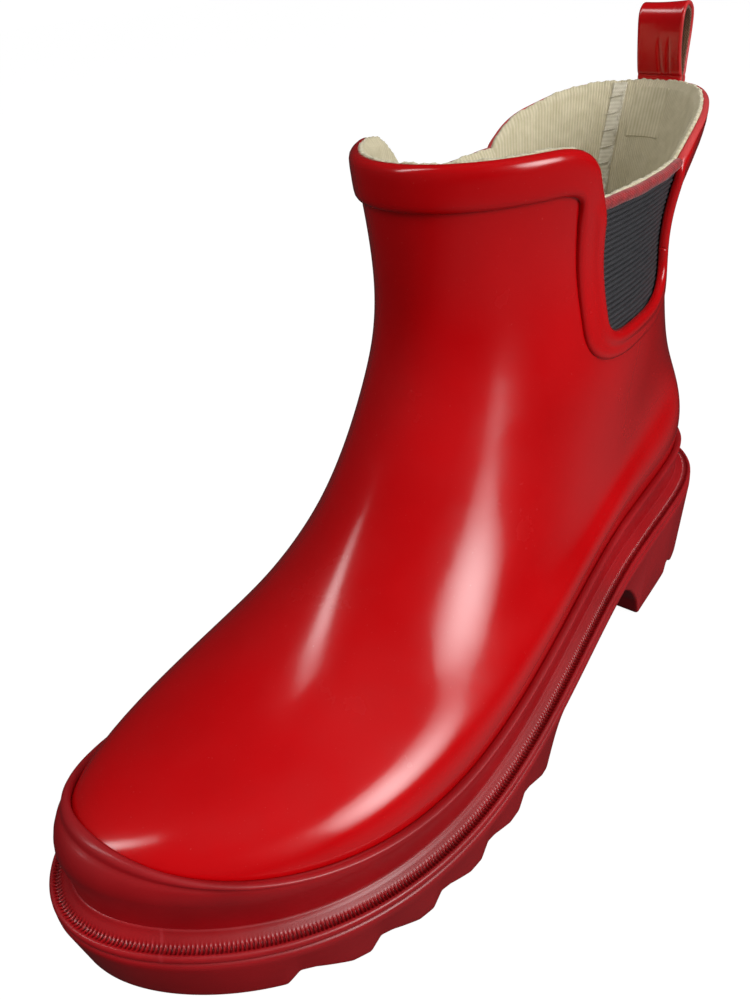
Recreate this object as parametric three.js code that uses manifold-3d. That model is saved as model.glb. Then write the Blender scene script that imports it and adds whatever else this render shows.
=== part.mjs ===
// Ankle rain boot of vulcanised rubber, left foot, with an elastic gore on each side.
// Millimetres. X runs towards the toe, Y to the wearer's left (the outer side), Z up.
// The origin lies on the ground, under the middle of the heel.

import * as THREE from "three";
import { mergeVertices } from "three/addons/utils/BufferGeometryUtils.js";
import Module from "manifold-3d";

const wasm = await Module();
wasm.setup();

// ---- Driving dimensions ----

// Level sections of the upper, from the sole (level 0) to above the top edge (level 1):
// level, x at the front, x at the back, half width, z at the front, z at the back.
const SECTIONS = [
  [0.0, 209, -54, 37.5, 30, 37],
  [0.12, 206, -55, 40, 43, 55],
  [0.3, 163, -58, 35.5, 56, 75],
  [0.45, 119, -52, 33, 79, 94],
  [0.6, 92, -45, 32, 112, 116],
  [0.8, 82, -47, 30.5, 146, 146],
  [1.0, 82, -63, 40, 181, 187],
];
const PLAN_BLUNT = 0.037; // how square the toe and heel are in plan, at the sole
const PLAN_BOX = 0.074; // how square the sides are in plan, at the sole
const PLAN_BLUNT_TOP = 0.004; // the same two at the top
const PLAN_BOX_TOP = 0.02;
const TREAD_FLARE = 5; // extra width at the ball over the heel
const TREAD_WAIST = -3.4; // narrowing of the outer side at the waist
const TREAD_SWEEP = -8.6; // sideways sweep of the forefoot against the heel
const TREAD_BOW = -2.1; // inward bow of both ends against the middle
const SHAFT_SWEEP = -2; // the same sweep, at the top

const RIM_BALL = 18; // height of the outsole rim at the ball, at the heel, and its rise at the toe
const RIM_HEEL = 35;
const TOE_SPRING = 15.5;
const TREAD_SPRING = 12.5; // rise of the underside at the toe
const BALL_X = 133; // where the toe spring starts
const ARCH_LENGTH = 114; // how far the rim takes to climb from ball to heel
const TOE_REACH = 74;

const FEATHER = 10; // height of the upper's turn above the rim
const TURN_RADIUS = 8; // radius of the upper's turn under the foot
const TURN_LEVEL = 0.08; // how much of the level range the turn takes

const RUBBER = [-0.7, 1.5]; // inner and outer face of each layer, from the reference skin
const STIFFENER = [-0.6, 0.2];
const LINING = [-2.5, -1.0];
const TAPE = [-3.5, -2.8];
const ANCHOR = [-4.2, -2.8];
const TRIM = [1.8, 3.4];
const GORE = [-0.6, 0.9];
const BINDING = [-0.6, 1.9];
const GAP = 0.3; // clearance between neighbouring pieces

const TOP_Z = 178; // top edge at the front
const BACK_TOP_Z = 175;
const COLLAR_BAND = 11; // height of the front collar band
const COLLAR_CORNER_X = 50; // where the front's top edge starts to fall towards the gore
const GORE_TOP_Z = 162;
const GORE_FRONT_X = 40;
const GORE_BACK_X = -6;
const GORE_FOOT_Z = 121;
const GORE_FOOT_FRONT_X = 32.5;
const GORE_FOOT_BACK_X = -10;
const GORE_FRONT_RADIUS = 7; // rounding of the gore's two lower corners
const GORE_BACK_RADIUS = 12;
const BINDING_HEIGHT = 2.6;
const TRIM_WIDTH = 9.5;
const BACK_TRIM_WIDTH = 7;
const BACK_CORNER_X = -19; // front corner of the back panel's top edge
const BACK_CORNER_Z = 169.5;
const BACK_LEVEL_X = -45; // where that edge has risen to its full height
const QUARTER_FOOT_Z = 78; // lowest edge of the back panel
const QUARTER_FOOT_X = -40;
const BACK_BAND = 8; // height of the raised edge round the back
const LINING_DROP = 1.5; // how far the lining stays below the rubber's top edge
const TOE_CAP_X = 162;
const TOE_CAP_Z = 66;
const COUNTER_X = -18;
const COUNTER_LOW_Z = 52;
const COUNTER_HIGH_Z = 72;
const TAPE_FROM_TAB = 12.5; // how far the lining's seam lies to the inner side of the tab
const TAPE_WIDTH = 5;

const RIM_OVERHANG = 10; // outsole rim beyond the upper's plan
const SOLE_TAPER = 2;
const SOLE_WALL = 5;
const SOLE_SKIN = 3;
const CLEAT_DEPTH = 5;
const CLEAT_PITCH = 20;
const CLEAT_FIRST_X = 190;
const CLEAT_COUNT = 5;
const CLEAT_RAMP = 15;
const CLEAT_STEEP = 3; // how far the steep face of a cleat leans
const CLEAT_FOLLOW = 0.7; // how much of the toe lift the foot of a cleat's ramp keeps
const HEEL_BREAST_X = 9;
const HEEL_GROOVE_X = -18;
const WAIST_END = 92;
const WAIST_BEND = 14; // length of the curve from the last cleat up to the waist
const WAIST_THICK = 5; // thickness of the sole at the waist
const WAIST_FOOT_Z = 9; // where the underside of the waist meets the heel
const WAIST_ARCH = 30; // length of the curve from the heel up to the full rise
const HOLLOW_MARGIN = 6; // solid rubber between the waist and the hollows to either side
const SHANK_BACK_X = -22;
const SHANK_FRONT_X = 78;
const SHANK_WIDTH = 18;
const SHANK_THICK = 1.4;
const BOARD_THICK = 2;
const FOXING_HEIGHT = 21; // at the toe
const FOXING_SIDE = 0.6; // share of its lying part that is left beside the foot
const FOXING_FALL = [150, 200]; // where it falls from one to the other
const FOXING_OUT = 3.8;
const WELT_HEIGHT = 5;

const TAB_WIDTH = 15.5;
const TAB_OFFSET = 3; // towards the outer side
const TAB_HEIGHT = 23;
const TAB_STRAP = 1.5;
const TAB_BACKING = 0.8;
const TAB_FOOT_RADIUS = 3.4;
const TAB_TOP_RADIUS = 4.4;
const ANCHOR_WIDTH = 14;
const ANCHOR_HEIGHT = 18;

const RING_STEPS = 44; // facets round a closed ring
const FOOT_ROWS = 12; // facets up the foot and up the shaft
const SHAFT_ROWS = 7;
const SHAFT_LEVEL = 0.48; // where the foot becomes the shaft
const TOP_LEVEL = 1.04;

// ---- Small maths ----

const smooth = (a, b, x) => {
  const t = Math.min(Math.max((x - a) / (b - a), 0), 1);
  return t * t * (3 - 2 * t);
};

const mix = (a, b, t) => a + (b - a) * t;

// Natural cubic spline through (xs, ys).
function spline(xs, ys) {
  const n = xs.length - 1;
  const h = xs.slice(1).map((x, i) => x - xs[i]);
  const bend = new Array(n + 1).fill(0);
  const diag = new Array(n + 1).fill(1);
  const rhs = new Array(n + 1).fill(0);
  for (let i = 1; i < n; i++) {
    diag[i] = 2 * (h[i - 1] + h[i]) - (i > 1 ? (h[i - 1] * h[i - 1]) / diag[i - 1] : 0);
    rhs[i] = 6 * ((ys[i + 1] - ys[i]) / h[i] - (ys[i] - ys[i - 1]) / h[i - 1]);
    if (i > 1) rhs[i] -= (h[i - 1] * rhs[i - 1]) / diag[i - 1];
  }
  for (let i = n - 1; i > 0; i--) bend[i] = (rhs[i] - h[i] * bend[i + 1]) / diag[i];
  return (x) => {
    let i = 0;
    while (i < n - 1 && x > xs[i + 1]) i++;
    const a = (xs[i + 1] - x) / h[i];
    const b = (x - xs[i]) / h[i];
    const curve = ((a ** 3 - a) * bend[i] + (b ** 3 - b) * bend[i + 1]) * h[i] * h[i];
    return a * ys[i] + b * ys[i + 1] + curve / 6;
  };
}

const column = (k) => spline(SECTIONS.map((row) => row[0]), SECTIONS.map((row) => row[k]));
const frontX = column(1);
const backX = column(2);
const halfWidth = column(3);
const frontZ = column(4);
const backZ = column(5);

// ---- The sole's lines ----

const toeCurve = (x) => (Math.max(x - BALL_X, 0) / TOE_REACH) ** 2;
const toeLift = (x) => TREAD_SPRING * toeCurve(x);
const rim = (x) => mix(RIM_BALL, RIM_HEEL, smooth(0, ARCH_LENGTH, BALL_X - x)) + TOE_SPRING * toeCurve(x);

// ---- The upper's reference skin ----

// Point at angle a round the foot (0 at the toe, PI / 2 at the outer side) and at a level.
// Below level 0 the skin turns in under the foot.
function skinPoint(a, level) {
  const v = Math.max(level, 0);
  const m = smooth(0, 0.7, v);
  const blunt = mix(PLAN_BLUNT, PLAN_BLUNT_TOP, m);
  const box = mix(PLAN_BOX, PLAN_BOX_TOP, m);
  const run = (1 + Math.cos(a) * (1 + blunt) - blunt * Math.cos(3 * a)) / 2;
  const x = mix(backX(v), frontX(v), run);
  const side = Math.sin(a) * (1 + box) + box * Math.sin(3 * a);
  const spread = (TREAD_FLARE * Math.sin(2 * a)) / 2 + TREAD_WAIST * Math.sin(4 * a);
  const sweep = TREAD_SWEEP * Math.cos(a) + TREAD_BOW * Math.cos(2 * a);
  const y = halfWidth(v) * side + (1 - m) * (spread + sweep) + m * SHAFT_SWEEP * Math.cos(a);
  const straight = mix(backZ(v), frontZ(v), run);
  const soleX = mix(backX(0), frontX(0), run);
  const dip = rim(soleX) + FEATHER - mix(backZ(0), frontZ(0), run);
  const z = straight + dip * (1 - smooth(0, 0.45, v));
  return new THREE.Vector3(x, y, z);
}

// Outward unit normal of the skin's plan at the sole.
function planNormal(a) {
  const step = 1e-3;
  const along = skinPoint(a + step, 0).sub(skinPoint(a - step, 0));
  return new THREE.Vector3(along.y, -along.x, 0).normalize();
}

// Point on the skin moved out by a distance along its normal.
function skin(a, level, out) {
  if (level < 0) {
    const turn = (-level / TURN_LEVEL) * (Math.PI / 2);
    const n = planNormal(a);
    const p = skinPoint(a, 0);
    const reach = TURN_RADIUS + out;
    p.addScaledVector(n, reach * Math.cos(turn) - TURN_RADIUS);
    p.z -= reach * Math.sin(turn);
    return p;
  }
  const step = 1e-3;
  const round = skinPoint(a + step, level).sub(skinPoint(a - step, level));
  const up = skinPoint(a, level + step).sub(skinPoint(a, Math.max(level - step, 0)));
  return skinPoint(a, level).addScaledVector(round.cross(up).normalize(), out);
}

// ---- Solids ----

function solid(points, triangles) {
  const geometry = new THREE.BufferGeometry();
  geometry.setAttribute("position", new THREE.Float32BufferAttribute(points.flatMap((p) => p.toArray()), 3));
  geometry.setIndex(triangles.flat());
  return toManifold(geometry);
}

function toManifold(geometry) {
  geometry.deleteAttribute("normal");
  geometry.deleteAttribute("uv");
  const merged = mergeVertices(geometry, 1e-4);
  const mesh = new wasm.Mesh({
    numProp: 3,
    vertProperties: new Float32Array(merged.attributes.position.array),
    triVerts: new Uint32Array(merged.index.array),
  });
  return new wasm.Manifold(mesh);
}

// Closed tube of loops: loops[i][j], where i runs round the section and j round the foot.
function ringSolid(loops) {
  const rows = loops.length;
  const steps = loops[0].length;
  const triangles = [];
  for (let i = 0; i < rows; i++) {
    for (let j = 0; j < steps; j++) {
      const a = i * steps + j;
      const b = i * steps + ((j + 1) % steps);
      const c = ((i + 1) % rows) * steps + ((j + 1) % steps);
      const d = ((i + 1) % rows) * steps + j;
      triangles.push([a, b, c], [a, c, d]);
    }
  }
  return solid(loops.flat(), triangles);
}

const ringAngles = Array.from({ length: RING_STEPS }, (_, j) => (j / RING_STEPS) * 2 * Math.PI);

const evenly = (from, to, count) => Array.from({ length: count + 1 }, (_, i) => mix(from, to, i / count));

// Rows of facets up the upper: the turn under the foot, the foot, then the straighter shaft.
const LEVELS = [
  ...evenly(-TURN_LEVEL, 0, 3),
  ...evenly(0, SHAFT_LEVEL, FOOT_ROWS).slice(1),
  ...evenly(SHAFT_LEVEL, TOP_LEVEL, SHAFT_ROWS).slice(1),
];

// Layer of the upper between two offsets from the skin and between two levels. All layers share the same
// rows, so that their facets lie parallel.
function layer([inner, outer], fromLevel, toLevel) {
  const levels = LEVELS.filter((v) => v > fromLevel - 1e-6 && v < toLevel + 1e-6);
  const outside = levels.map((v) => ringAngles.map((a) => skin(a, v, outer)));
  const inside = levels.map((v) => ringAngles.map((a) => skin(a, v, inner)));
  return ringSolid([...outside, ...inside.reverse()]);
}

// Loop round the sole, beyond the upper's plan by a distance. Its height depends on how far along the foot
// the point of the plan below it lies, so that loops of one height keep level with each other.
const soleLoop = (out, height) =>
  ringAngles.map((a) => {
    const p = skinPoint(a, 0);
    const z = height(p.x);
    return p.addScaledVector(planNormal(a), out).setZ(z);
  });

// Strip that runs round the sole. Its section lists [beyond the plan, above the rim], outer side first,
// going up.
const soleStrip = (section) => ringSolid(section.map(([out, up]) => soleLoop(out, (x) => rim(x) + up)));

// Solid stack of loops, bottom first, closed at both ends by rungs from side to side.
function stack(loops) {
  const steps = RING_STEPS;
  const triangles = [];
  for (let i = 0; i < loops.length - 1; i++) {
    for (let j = 0; j < steps; j++) {
      const k = (j + 1) % steps;
      triangles.push([i * steps + j, i * steps + k, (i + 1) * steps + k]);
      triangles.push([i * steps + j, (i + 1) * steps + k, (i + 1) * steps + j]);
    }
  }
  const last = (loops.length - 1) * steps;
  for (let j = 0; j < steps / 2; j++) {
    const left = [j, j + 1];
    const right = left.map((k) => (steps - k) % steps);
    for (const [base, flip] of [[last, false], [0, true]]) {
      const [a, b, c, d] = [base + left[0], base + left[1], base + right[1], base + right[0]];
      const pair = [[a, b, c], [a, c, d]].filter((t) => new Set(t).size === 3);
      triangles.push(...pair.map((t) => (flip ? t.reverse() : t)));
    }
  }
  return solid(loops.flat(), triangles);
}

// Plate that fills the sole's plan: rows of [beyond the plan, height as a function of x], bottom first.
const solePlate = (rows) => stack(rows.map(([out, height]) => soleLoop(out, height)));

// Level of the skin at a height, for one angle.
function levelAt(a, z) {
  let low = 0;
  let high = TOP_LEVEL;
  for (let i = 0; i < 30; i++) {
    const middle = (low + high) / 2;
    if (skinPoint(a, middle).z < z) low = middle;
    else high = middle;
  }
  return low;
}

// Loop that lies on the upper: a height above the rim, less beside the foot than at the toe, and a distance
// out along the skin's normal.
function coverLoop(out, up) {
  const base = FEATHER + 1;
  return ringAngles.map((a) => {
    const { x } = skinPoint(a, 0);
    const share = mix(FOXING_SIDE, 1, smooth(...FOXING_FALL, x));
    return skin(a, levelAt(a, rim(x) + base + (up - base) * share), out);
  });
}

// Side-view outline (x, z) pushed through the boot from y = from to y = to.
function sideCutter(shape, from = -90, to = 90) {
  const geometry = new THREE.ExtrudeGeometry(shape, { depth: to - from, bevelEnabled: false, curveSegments: 6 });
  geometry.rotateX(Math.PI / 2);
  geometry.translate(0, to, 0);
  return toManifold(geometry);
}

const outline = (points) => new THREE.Shape(points.map(([x, z]) => new THREE.Vector2(x, z)));

function toMesh(name, body, colour, roughness, metalness = 0) {
  const { numProp, vertProperties, triVerts } = body.getMesh();
  const positions = [];
  for (let i = 0; i < vertProperties.length; i += numProp) positions.push(...vertProperties.subarray(i, i + 3));
  const geometry = new THREE.BufferGeometry();
  geometry.setAttribute("position", new THREE.Float32BufferAttribute(positions, 3));
  geometry.setIndex([...triVerts]);
  const mesh = new THREE.Mesh(geometry, new THREE.MeshStandardMaterial({ color: colour, roughness, metalness }));
  mesh.name = name;
  return mesh;
}

// ---- Side-view outlines ----

// Rounded polygon: corners are [x, z, radius].
function rounded(corners) {
  const shape = new THREE.Shape();
  const at = corners.map(([x, z]) => new THREE.Vector2(x, z));
  const count = corners.length;
  for (let i = 0; i < count; i++) {
    const here = at[i];
    const before = at[(i + count - 1) % count];
    const after = at[(i + 1) % count];
    const radius = corners[i][2] || 0;
    const start = here.clone().add(before.clone().sub(here).setLength(radius));
    const stop = here.clone().add(after.clone().sub(here).setLength(radius));
    if (i === 0) shape.moveTo(start.x, start.y);
    else shape.lineTo(start.x, start.y);
    if (radius > 0) shape.quadraticCurveTo(here.x, here.y, stop.x, stop.y);
  }
  shape.closePath();
  return shape;
}

const FAR = 130;
const HIGH = 240;

// All that lies above the boot's top edge, lowered by an amount.
function aboveTop(drop = 0) {
  return rounded([
    [FAR, TOP_Z - drop],
    [COLLAR_CORNER_X, TOP_Z - drop, 8],
    [GORE_FRONT_X, GORE_TOP_Z - drop, 3],
    [GORE_BACK_X, GORE_TOP_Z - drop, 3],
    [BACK_CORNER_X, BACK_CORNER_Z - drop, 6],
    [BACK_LEVEL_X, BACK_TOP_Z - drop, 8],
    [-FAR, BACK_TOP_Z - drop],
    [-FAR, HIGH],
    [FAR, HIGH],
  ]);
}

// The gore's cut-out, open at the top and grown all round by an amount.
function goreOutline(grow = 0, top = HIGH) {
  return rounded([
    [GORE_FRONT_X + grow, top],
    [GORE_FRONT_X + grow, GORE_TOP_Z],
    [GORE_FOOT_FRONT_X + grow, GORE_FOOT_Z - grow, GORE_FRONT_RADIUS + grow / 2],
    [GORE_FOOT_BACK_X - grow, GORE_FOOT_Z - grow, GORE_BACK_RADIUS + grow / 2],
    [GORE_BACK_X - grow, GORE_TOP_Z],
    [GORE_BACK_X - grow, top],
  ]);
}

// The back panel: behind the gore, then down and back to the heel counter. Shrunk by an amount.
function quarterOutline(shrink) {
  return outline([
    [GORE_BACK_X - shrink, HIGH],
    [GORE_BACK_X - shrink, GORE_TOP_Z],
    [GORE_FOOT_BACK_X - shrink, GORE_FOOT_Z + GORE_BACK_RADIUS],
    [QUARTER_FOOT_X - shrink, QUARTER_FOOT_Z + shrink],
    [-FAR, QUARTER_FOOT_Z + shrink],
    [-FAR, HIGH],
  ]);
}

// ---- The sole ----

const hollowFloor = (x) => toeLift(x) + CLEAT_DEPTH + SOLE_SKIN;

// Underside of the waist, from behind the last cleat to the top of the heel breast.
function waistOutline() {
  const front = WAIST_END - WAIST_BEND;
  const back = HEEL_BREAST_X + WAIST_ARCH;
  const shape = new THREE.Shape();
  shape.moveTo(WAIST_END, -1);
  shape.quadraticCurveTo(front + WAIST_BEND / 4, rim(front) - WAIST_THICK, front, rim(front) - WAIST_THICK);
  evenly(front, back, 5).forEach((x) => shape.lineTo(x, rim(x) - WAIST_THICK));
  const corner = HEEL_BREAST_X + CLEAT_STEEP;
  shape.quadraticCurveTo(back - WAIST_ARCH / 2, rim(back) - WAIST_THICK, corner, WAIST_FOOT_Z);
  shape.lineTo(HEEL_BREAST_X, -1);
  shape.closePath();
  return shape;
}

// Outline of a tapered tooth cut across the underside: steep towards the toe, ramped towards the heel.
function toothGap(x, depth, ramp) {
  const lift = toeLift(x);
  const low = lift * CLEAT_FOLLOW;
  const roof = depth + lift;
  const top = x - CLEAT_STEEP;
  return outline([[x, -1], [x, low], [top, roof], [top - CLEAT_STEEP, roof], [x - ramp, low], [x - ramp, -1]]);
}

function treadCuts() {
  let cuts = sideCutter(waistOutline()).add(sideCutter(toothGap(HEEL_GROOVE_X, CLEAT_DEPTH - 1, CLEAT_RAMP - 5)));
  for (let i = 0; i < CLEAT_COUNT; i++) {
    cuts = cuts.add(sideCutter(toothGap(CLEAT_FIRST_X - i * CLEAT_PITCH, CLEAT_DEPTH, CLEAT_RAMP)));
  }
  return cuts;
}

// Block of space between two x values.
const between = (x0, x1) => sideCutter(outline([[x0, -9], [x1, -9], [x1, HIGH], [x0, HIGH]]));

// What fills the outsole's two hollows, under the heel and under the forefoot, smaller all round by an amount.
function soleCores(shrink, top) {
  const out = -SOLE_WALL - shrink;
  const core = solePlate([[out, (x) => hollowFloor(x) + shrink], [out, top]]);
  return {
    heel: core.intersect(between(-FAR, HEEL_BREAST_X - HOLLOW_MARGIN - shrink)),
    forefoot: core.intersect(between(WAIST_END + HOLLOW_MARGIN + shrink, 2 * FAR)),
  };
}

function makeOutsole() {
  const body = solePlate([
    [RIM_OVERHANG - SOLE_TAPER, toeLift],
    [RIM_OVERHANG, (x) => rim(x) - 2],
    [RIM_OVERHANG - 0.8, rim],
  ]);
  const { heel, forefoot } = soleCores(0, (x) => rim(x) + 4);
  return body.subtract(heel).subtract(forefoot).subtract(makeShank(GAP)).subtract(treadCuts());
}

// Stiff strip under the arch, grown all round by an amount.
function makeShank(grow = 0) {
  const steps = 8;
  const top = evenly(SHANK_BACK_X - grow, SHANK_FRONT_X + grow, steps).map((x) => [x, rim(x) + grow]);
  const under = top.map(([x, z]) => [x, z - SHANK_THICK - 2 * grow]).reverse();
  return sideCutter(outline([...top, ...under]), -SHANK_WIDTH / 2 - grow, SHANK_WIDTH / 2 + grow);
}

function makeFillers() {
  const { heel, forefoot } = soleCores(GAP, (x) => rim(x) - GAP);
  return { heel: heel.subtract(makeShank(GAP)), forefoot };
}

const makeInsoleBoard = () =>
  solePlate([
    [-TURN_RADIUS - 0.5, (x) => rim(x) + GAP],
    [-TURN_RADIUS - 0.5, (x) => rim(x) + GAP + BOARD_THICK],
  ]);

// Footbed: its edge follows the turn of the lining.
function makeSockliner() {
  const base = GAP + BOARD_THICK + GAP;
  const rows = [[-0.8, 0], [-0.8, 2], [1.1, 2.7], [3.8, 5.1], [3.6, 5.8]];
  return solePlate(rows.map(([out, up]) => [out - TURN_RADIUS, (x) => rim(x) + base + up]));
}

// The foxing band lies on the upper, and its foot fills the space under the upper's turn.
function makeFoxing() {
  const inner = RUBBER[1] + 2 * GAP;
  const reach = TURN_RADIUS + inner;
  const under = evenly(0, 1.3, 4).map((t) => [reach * Math.cos(t) - TURN_RADIUS, FEATHER - reach * Math.sin(t)]);
  const standing = [[FOXING_OUT, GAP], [FOXING_OUT, FEATHER / 2]];
  const lying = [
    [FOXING_OUT, FEATHER + 1],
    [FOXING_OUT - 0.1, FEATHER + 4],
    [FOXING_OUT - 0.3, FOXING_HEIGHT - 3.4],
    [FOXING_OUT + 0.3, FOXING_HEIGHT - 2],
    [FOXING_OUT, FOXING_HEIGHT - 0.6],
    [FOXING_OUT - 1, FOXING_HEIGHT],
    [inner, FOXING_HEIGHT - 0.8],
    [inner, FEATHER + 7],
    [inner, FEATHER + 4],
    [inner, FEATHER + 1],
  ];
  const onSole = (rows) => rows.map(([out, up]) => soleLoop(out, (x) => rim(x) + up));
  return ringSolid([...onSole(standing), ...lying.map(([out, up]) => coverLoop(out, up)), ...onSole(under)]);
}

// Flange round the foot of the foxing: a slope down to a groove, then a rounded outer lip.
function makeWelt() {
  const out = FOXING_OUT + GAP;
  return soleStrip([
    [RIM_OVERHANG - 1.2, GAP],
    [RIM_OVERHANG - 0.7, 1.6],
    [RIM_OVERHANG - 1.3, 2.9],
    [RIM_OVERHANG - 2.3, 3.1],
    [RIM_OVERHANG - 3, 2.4],
    [RIM_OVERHANG - 4, 2.6],
    [out + 0.6, WELT_HEIGHT - 0.6],
    [out, WELT_HEIGHT],
    [out, GAP],
  ]);
}

// ---- The upper ----

const box = (x0, x1, z0, z1, y0 = -90, y1 = 90) =>
  sideCutter(outline([[x0, z0], [x1, z0], [x1, z1], [x0, z1]]), y0, y1);

const LEFT = [0, 90];
const RIGHT = [-90, 0];

// One side of a body that spans both.
const sideOf = (body, [y0, y1]) => body.intersect(box(-FAR, 2 * FAR, -9, HIGH, y0, y1));

const toeZone = (grow) => box(TOE_CAP_X - grow, 2 * FAR, 20, TOE_CAP_Z + grow);
const counterZone = (grow) => box(-FAR, COUNTER_X + grow, COUNTER_LOW_Z - grow, COUNTER_HIGH_Z + grow);

function makeUpper() {
  const pocket = layer([RUBBER[0] - 1, STIFFENER[1] + GAP], 0, SHAFT_LEVEL);
  const zones = toeZone(GAP).add(counterZone(GAP));
  const whole = layer(RUBBER, -TURN_LEVEL, TOP_LEVEL)
    .subtract(sideCutter(aboveTop()))
    .subtract(sideCutter(goreOutline()))
    .subtract(pocket.intersect(zones));
  return splitBack(whole);
}

// Front and back parts of a layer, parted along the edge of the back panel.
const splitBack = (whole) => ({
  front: whole.subtract(sideCutter(quarterOutline(-GAP / 2))),
  back: whole.intersect(sideCutter(quarterOutline(GAP / 2))),
});

function makeStiffeners() {
  const sheet = layer(STIFFENER, 0.03, SHAFT_LEVEL);
  return { toe: sheet.intersect(toeZone(0)), heel: sheet.intersect(counterZone(0)) };
}

const makeLining = () =>
  splitBack(layer(LINING, -TURN_LEVEL, TOP_LEVEL).subtract(sideCutter(aboveTop(LINING_DROP))));

// Raised strips on the outside of the shaft.
function makeTrims() {
  const raised = layer(TRIM, 0.3, TOP_LEVEL).subtract(sideCutter(aboveTop()));
  const byGore = raised.intersect(sideCutter(goreOutline(TRIM_WIDTH))).subtract(sideCutter(goreOutline()));
  const { front } = splitBack(byGore);
  const narrow = raised.intersect(sideCutter(goreOutline(BACK_TRIM_WIDTH))).subtract(sideCutter(goreOutline()));
  const { back } = splitBack(narrow);
  const collar = raised.intersect(box(GORE_FRONT_X + TRIM_WIDTH + GAP, FAR, TOP_Z - COLLAR_BAND, HIGH));
  const backCollar = splitBack(raised.intersect(box(-FAR, FAR, BACK_TOP_Z - BACK_BAND, HIGH))).back;
  const backOfStrips = sideCutter(goreOutline(BACK_TRIM_WIDTH + GAP));
  return { front, back, collar, backCollar: backCollar.subtract(backOfStrips) };
}

function makeGores() {
  const opening = sideCutter(goreOutline(-GAP));
  const above = sideCutter(aboveTop());
  const lowestBinding = GORE_TOP_Z - BINDING_HEIGHT;
  const gore = layer(GORE, 0.3, TOP_LEVEL)
    .intersect(opening)
    .subtract(box(-FAR, FAR, lowestBinding - GAP, HIGH));
  const binding = layer(BINDING, SHAFT_LEVEL, TOP_LEVEL)
    .intersect(opening)
    .intersect(box(-FAR, FAR, lowestBinding, HIGH))
    .subtract(above);
  return { gore, binding };
}

// Upright strip of a layer inside the back of the shaft.
const backStrip = (offsets, fromLevel, lowest, middle, width) =>
  layer(offsets, fromLevel, TOP_LEVEL)
    .subtract(sideCutter(aboveTop(LINING_DROP)))
    .intersect(box(-FAR, 0, lowest, HIGH, middle - width / 2, middle + width / 2));

const makeSeamTape = () => backStrip(TAPE, 0.2, QUARTER_FOOT_Z + 2, tab.y - TAPE_FROM_TAB, TAPE_WIDTH);

const makeAnchor = () => backStrip(ANCHOR, SHAFT_LEVEL, BACK_TOP_Z - ANCHOR_HEIGHT, tab.y, ANCHOR_WIDTH);

// ---- The pull tab ----

// Teardrop: a small arc at the foot and a larger one at the top.
function teardrop(path, inset) {
  const low = TAB_FOOT_RADIUS - inset;
  const high = TAB_TOP_RADIUS - inset;
  const top = TAB_HEIGHT - TAB_FOOT_RADIUS - TAB_TOP_RADIUS;
  path.absarc(0, 0, low, Math.PI, 2 * Math.PI, false);
  path.absarc(0, top, high, 0, Math.PI, false);
  path.closePath();
  return path;
}

function makeStrap(inset, thick) {
  const shape = teardrop(new THREE.Shape(), inset);
  shape.holes.push(teardrop(new THREE.Path(), inset + thick));
  return sideCutter(shape, -TAB_WIDTH / 2, TAB_WIDTH / 2).translate(tab.toArray());
}

// ---- Assembly ----

const RED = 0x9e0810;
const SOLE_RED = 0x9c1820;
const CREAM = 0xd8d2b4;

// The tab stands over the back panel's rubber, a little to the outer side.
const tab = skinPoint(Math.PI, levelAt(Math.PI, BACK_TOP_Z)).setZ(BACK_TOP_Z + TAB_FOOT_RADIUS + 2 * GAP);
tab.y += TAB_OFFSET;

const upper = makeUpper();
const lining = makeLining();
const trims = makeTrims();
const stiffeners = makeStiffeners();
const fillers = makeFillers();
const gores = makeGores();

const boot = new THREE.Group();
boot.name = "rain_boot";
boot.add(
  toMesh("outsole", makeOutsole(), SOLE_RED, 0.45),
  toMesh("heel_filler", fillers.heel, 0x3a3a3a, 0.9),
  toMesh("sole_filler", fillers.forefoot, 0x3a3a3a, 0.9),
  toMesh("shank", makeShank(), 0x8a8d90, 0.4, 0.9),
  toMesh("insole_board", makeInsoleBoard(), 0x9a7a50, 0.9),
  toMesh("sockliner", makeSockliner(), CREAM, 0.9),
  toMesh("foxing_band", makeFoxing(), SOLE_RED, 0.35),
  toMesh("welt_strip", makeWelt(), SOLE_RED, 0.5),
  toMesh("upper_front", upper.front, RED, 0.15),
  toMesh("upper_back", upper.back, RED, 0.15),
  toMesh("toe_stiffener", stiffeners.toe, 0x54504a, 0.9),
  toMesh("heel_counter", stiffeners.heel, 0x54504a, 0.9),
  toMesh("lining_front", lining.front, CREAM, 0.95),
  toMesh("lining_back", lining.back, CREAM, 0.95),
  toMesh("lining_seam_tape", makeSeamTape(), CREAM, 0.95),
  toMesh("collar_front", trims.collar, RED, 0.15),
  toMesh("collar_back", trims.backCollar, RED, 0.15),
  toMesh("gore_trim_left", sideOf(trims.front, LEFT), RED, 0.15),
  toMesh("gore_trim_right", sideOf(trims.front, RIGHT), RED, 0.15),
  toMesh("back_trim_left", sideOf(trims.back, LEFT), RED, 0.15),
  toMesh("back_trim_right", sideOf(trims.back, RIGHT), RED, 0.15),
  toMesh("gore_left", sideOf(gores.gore, LEFT), 0x1c1c1e, 0.85),
  toMesh("gore_right", sideOf(gores.gore, RIGHT), 0x1c1c1e, 0.85),
  toMesh("gore_binding_left", sideOf(gores.binding, LEFT), RED, 0.3),
  toMesh("gore_binding_right", sideOf(gores.binding, RIGHT), RED, 0.3),
  toMesh("pull_tab_anchor", makeAnchor(), CREAM, 0.9),
  toMesh("pull_tab", makeStrap(0, TAB_STRAP), RED, 0.2),
  toMesh("pull_tab_webbing", makeStrap(TAB_STRAP + GAP, TAB_BACKING), 0x8a6a48, 0.9),
);

export default boot;
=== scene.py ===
"""Looks of the ankle rain boot: glossy red rubber, ribbed elastic gores, cotton lining and cleated sole.

Lengths are millimetres in the boot's own frame (X to the toe, Y to the wearer's left, Z up) until place()
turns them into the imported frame's metres.
"""

import math

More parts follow.
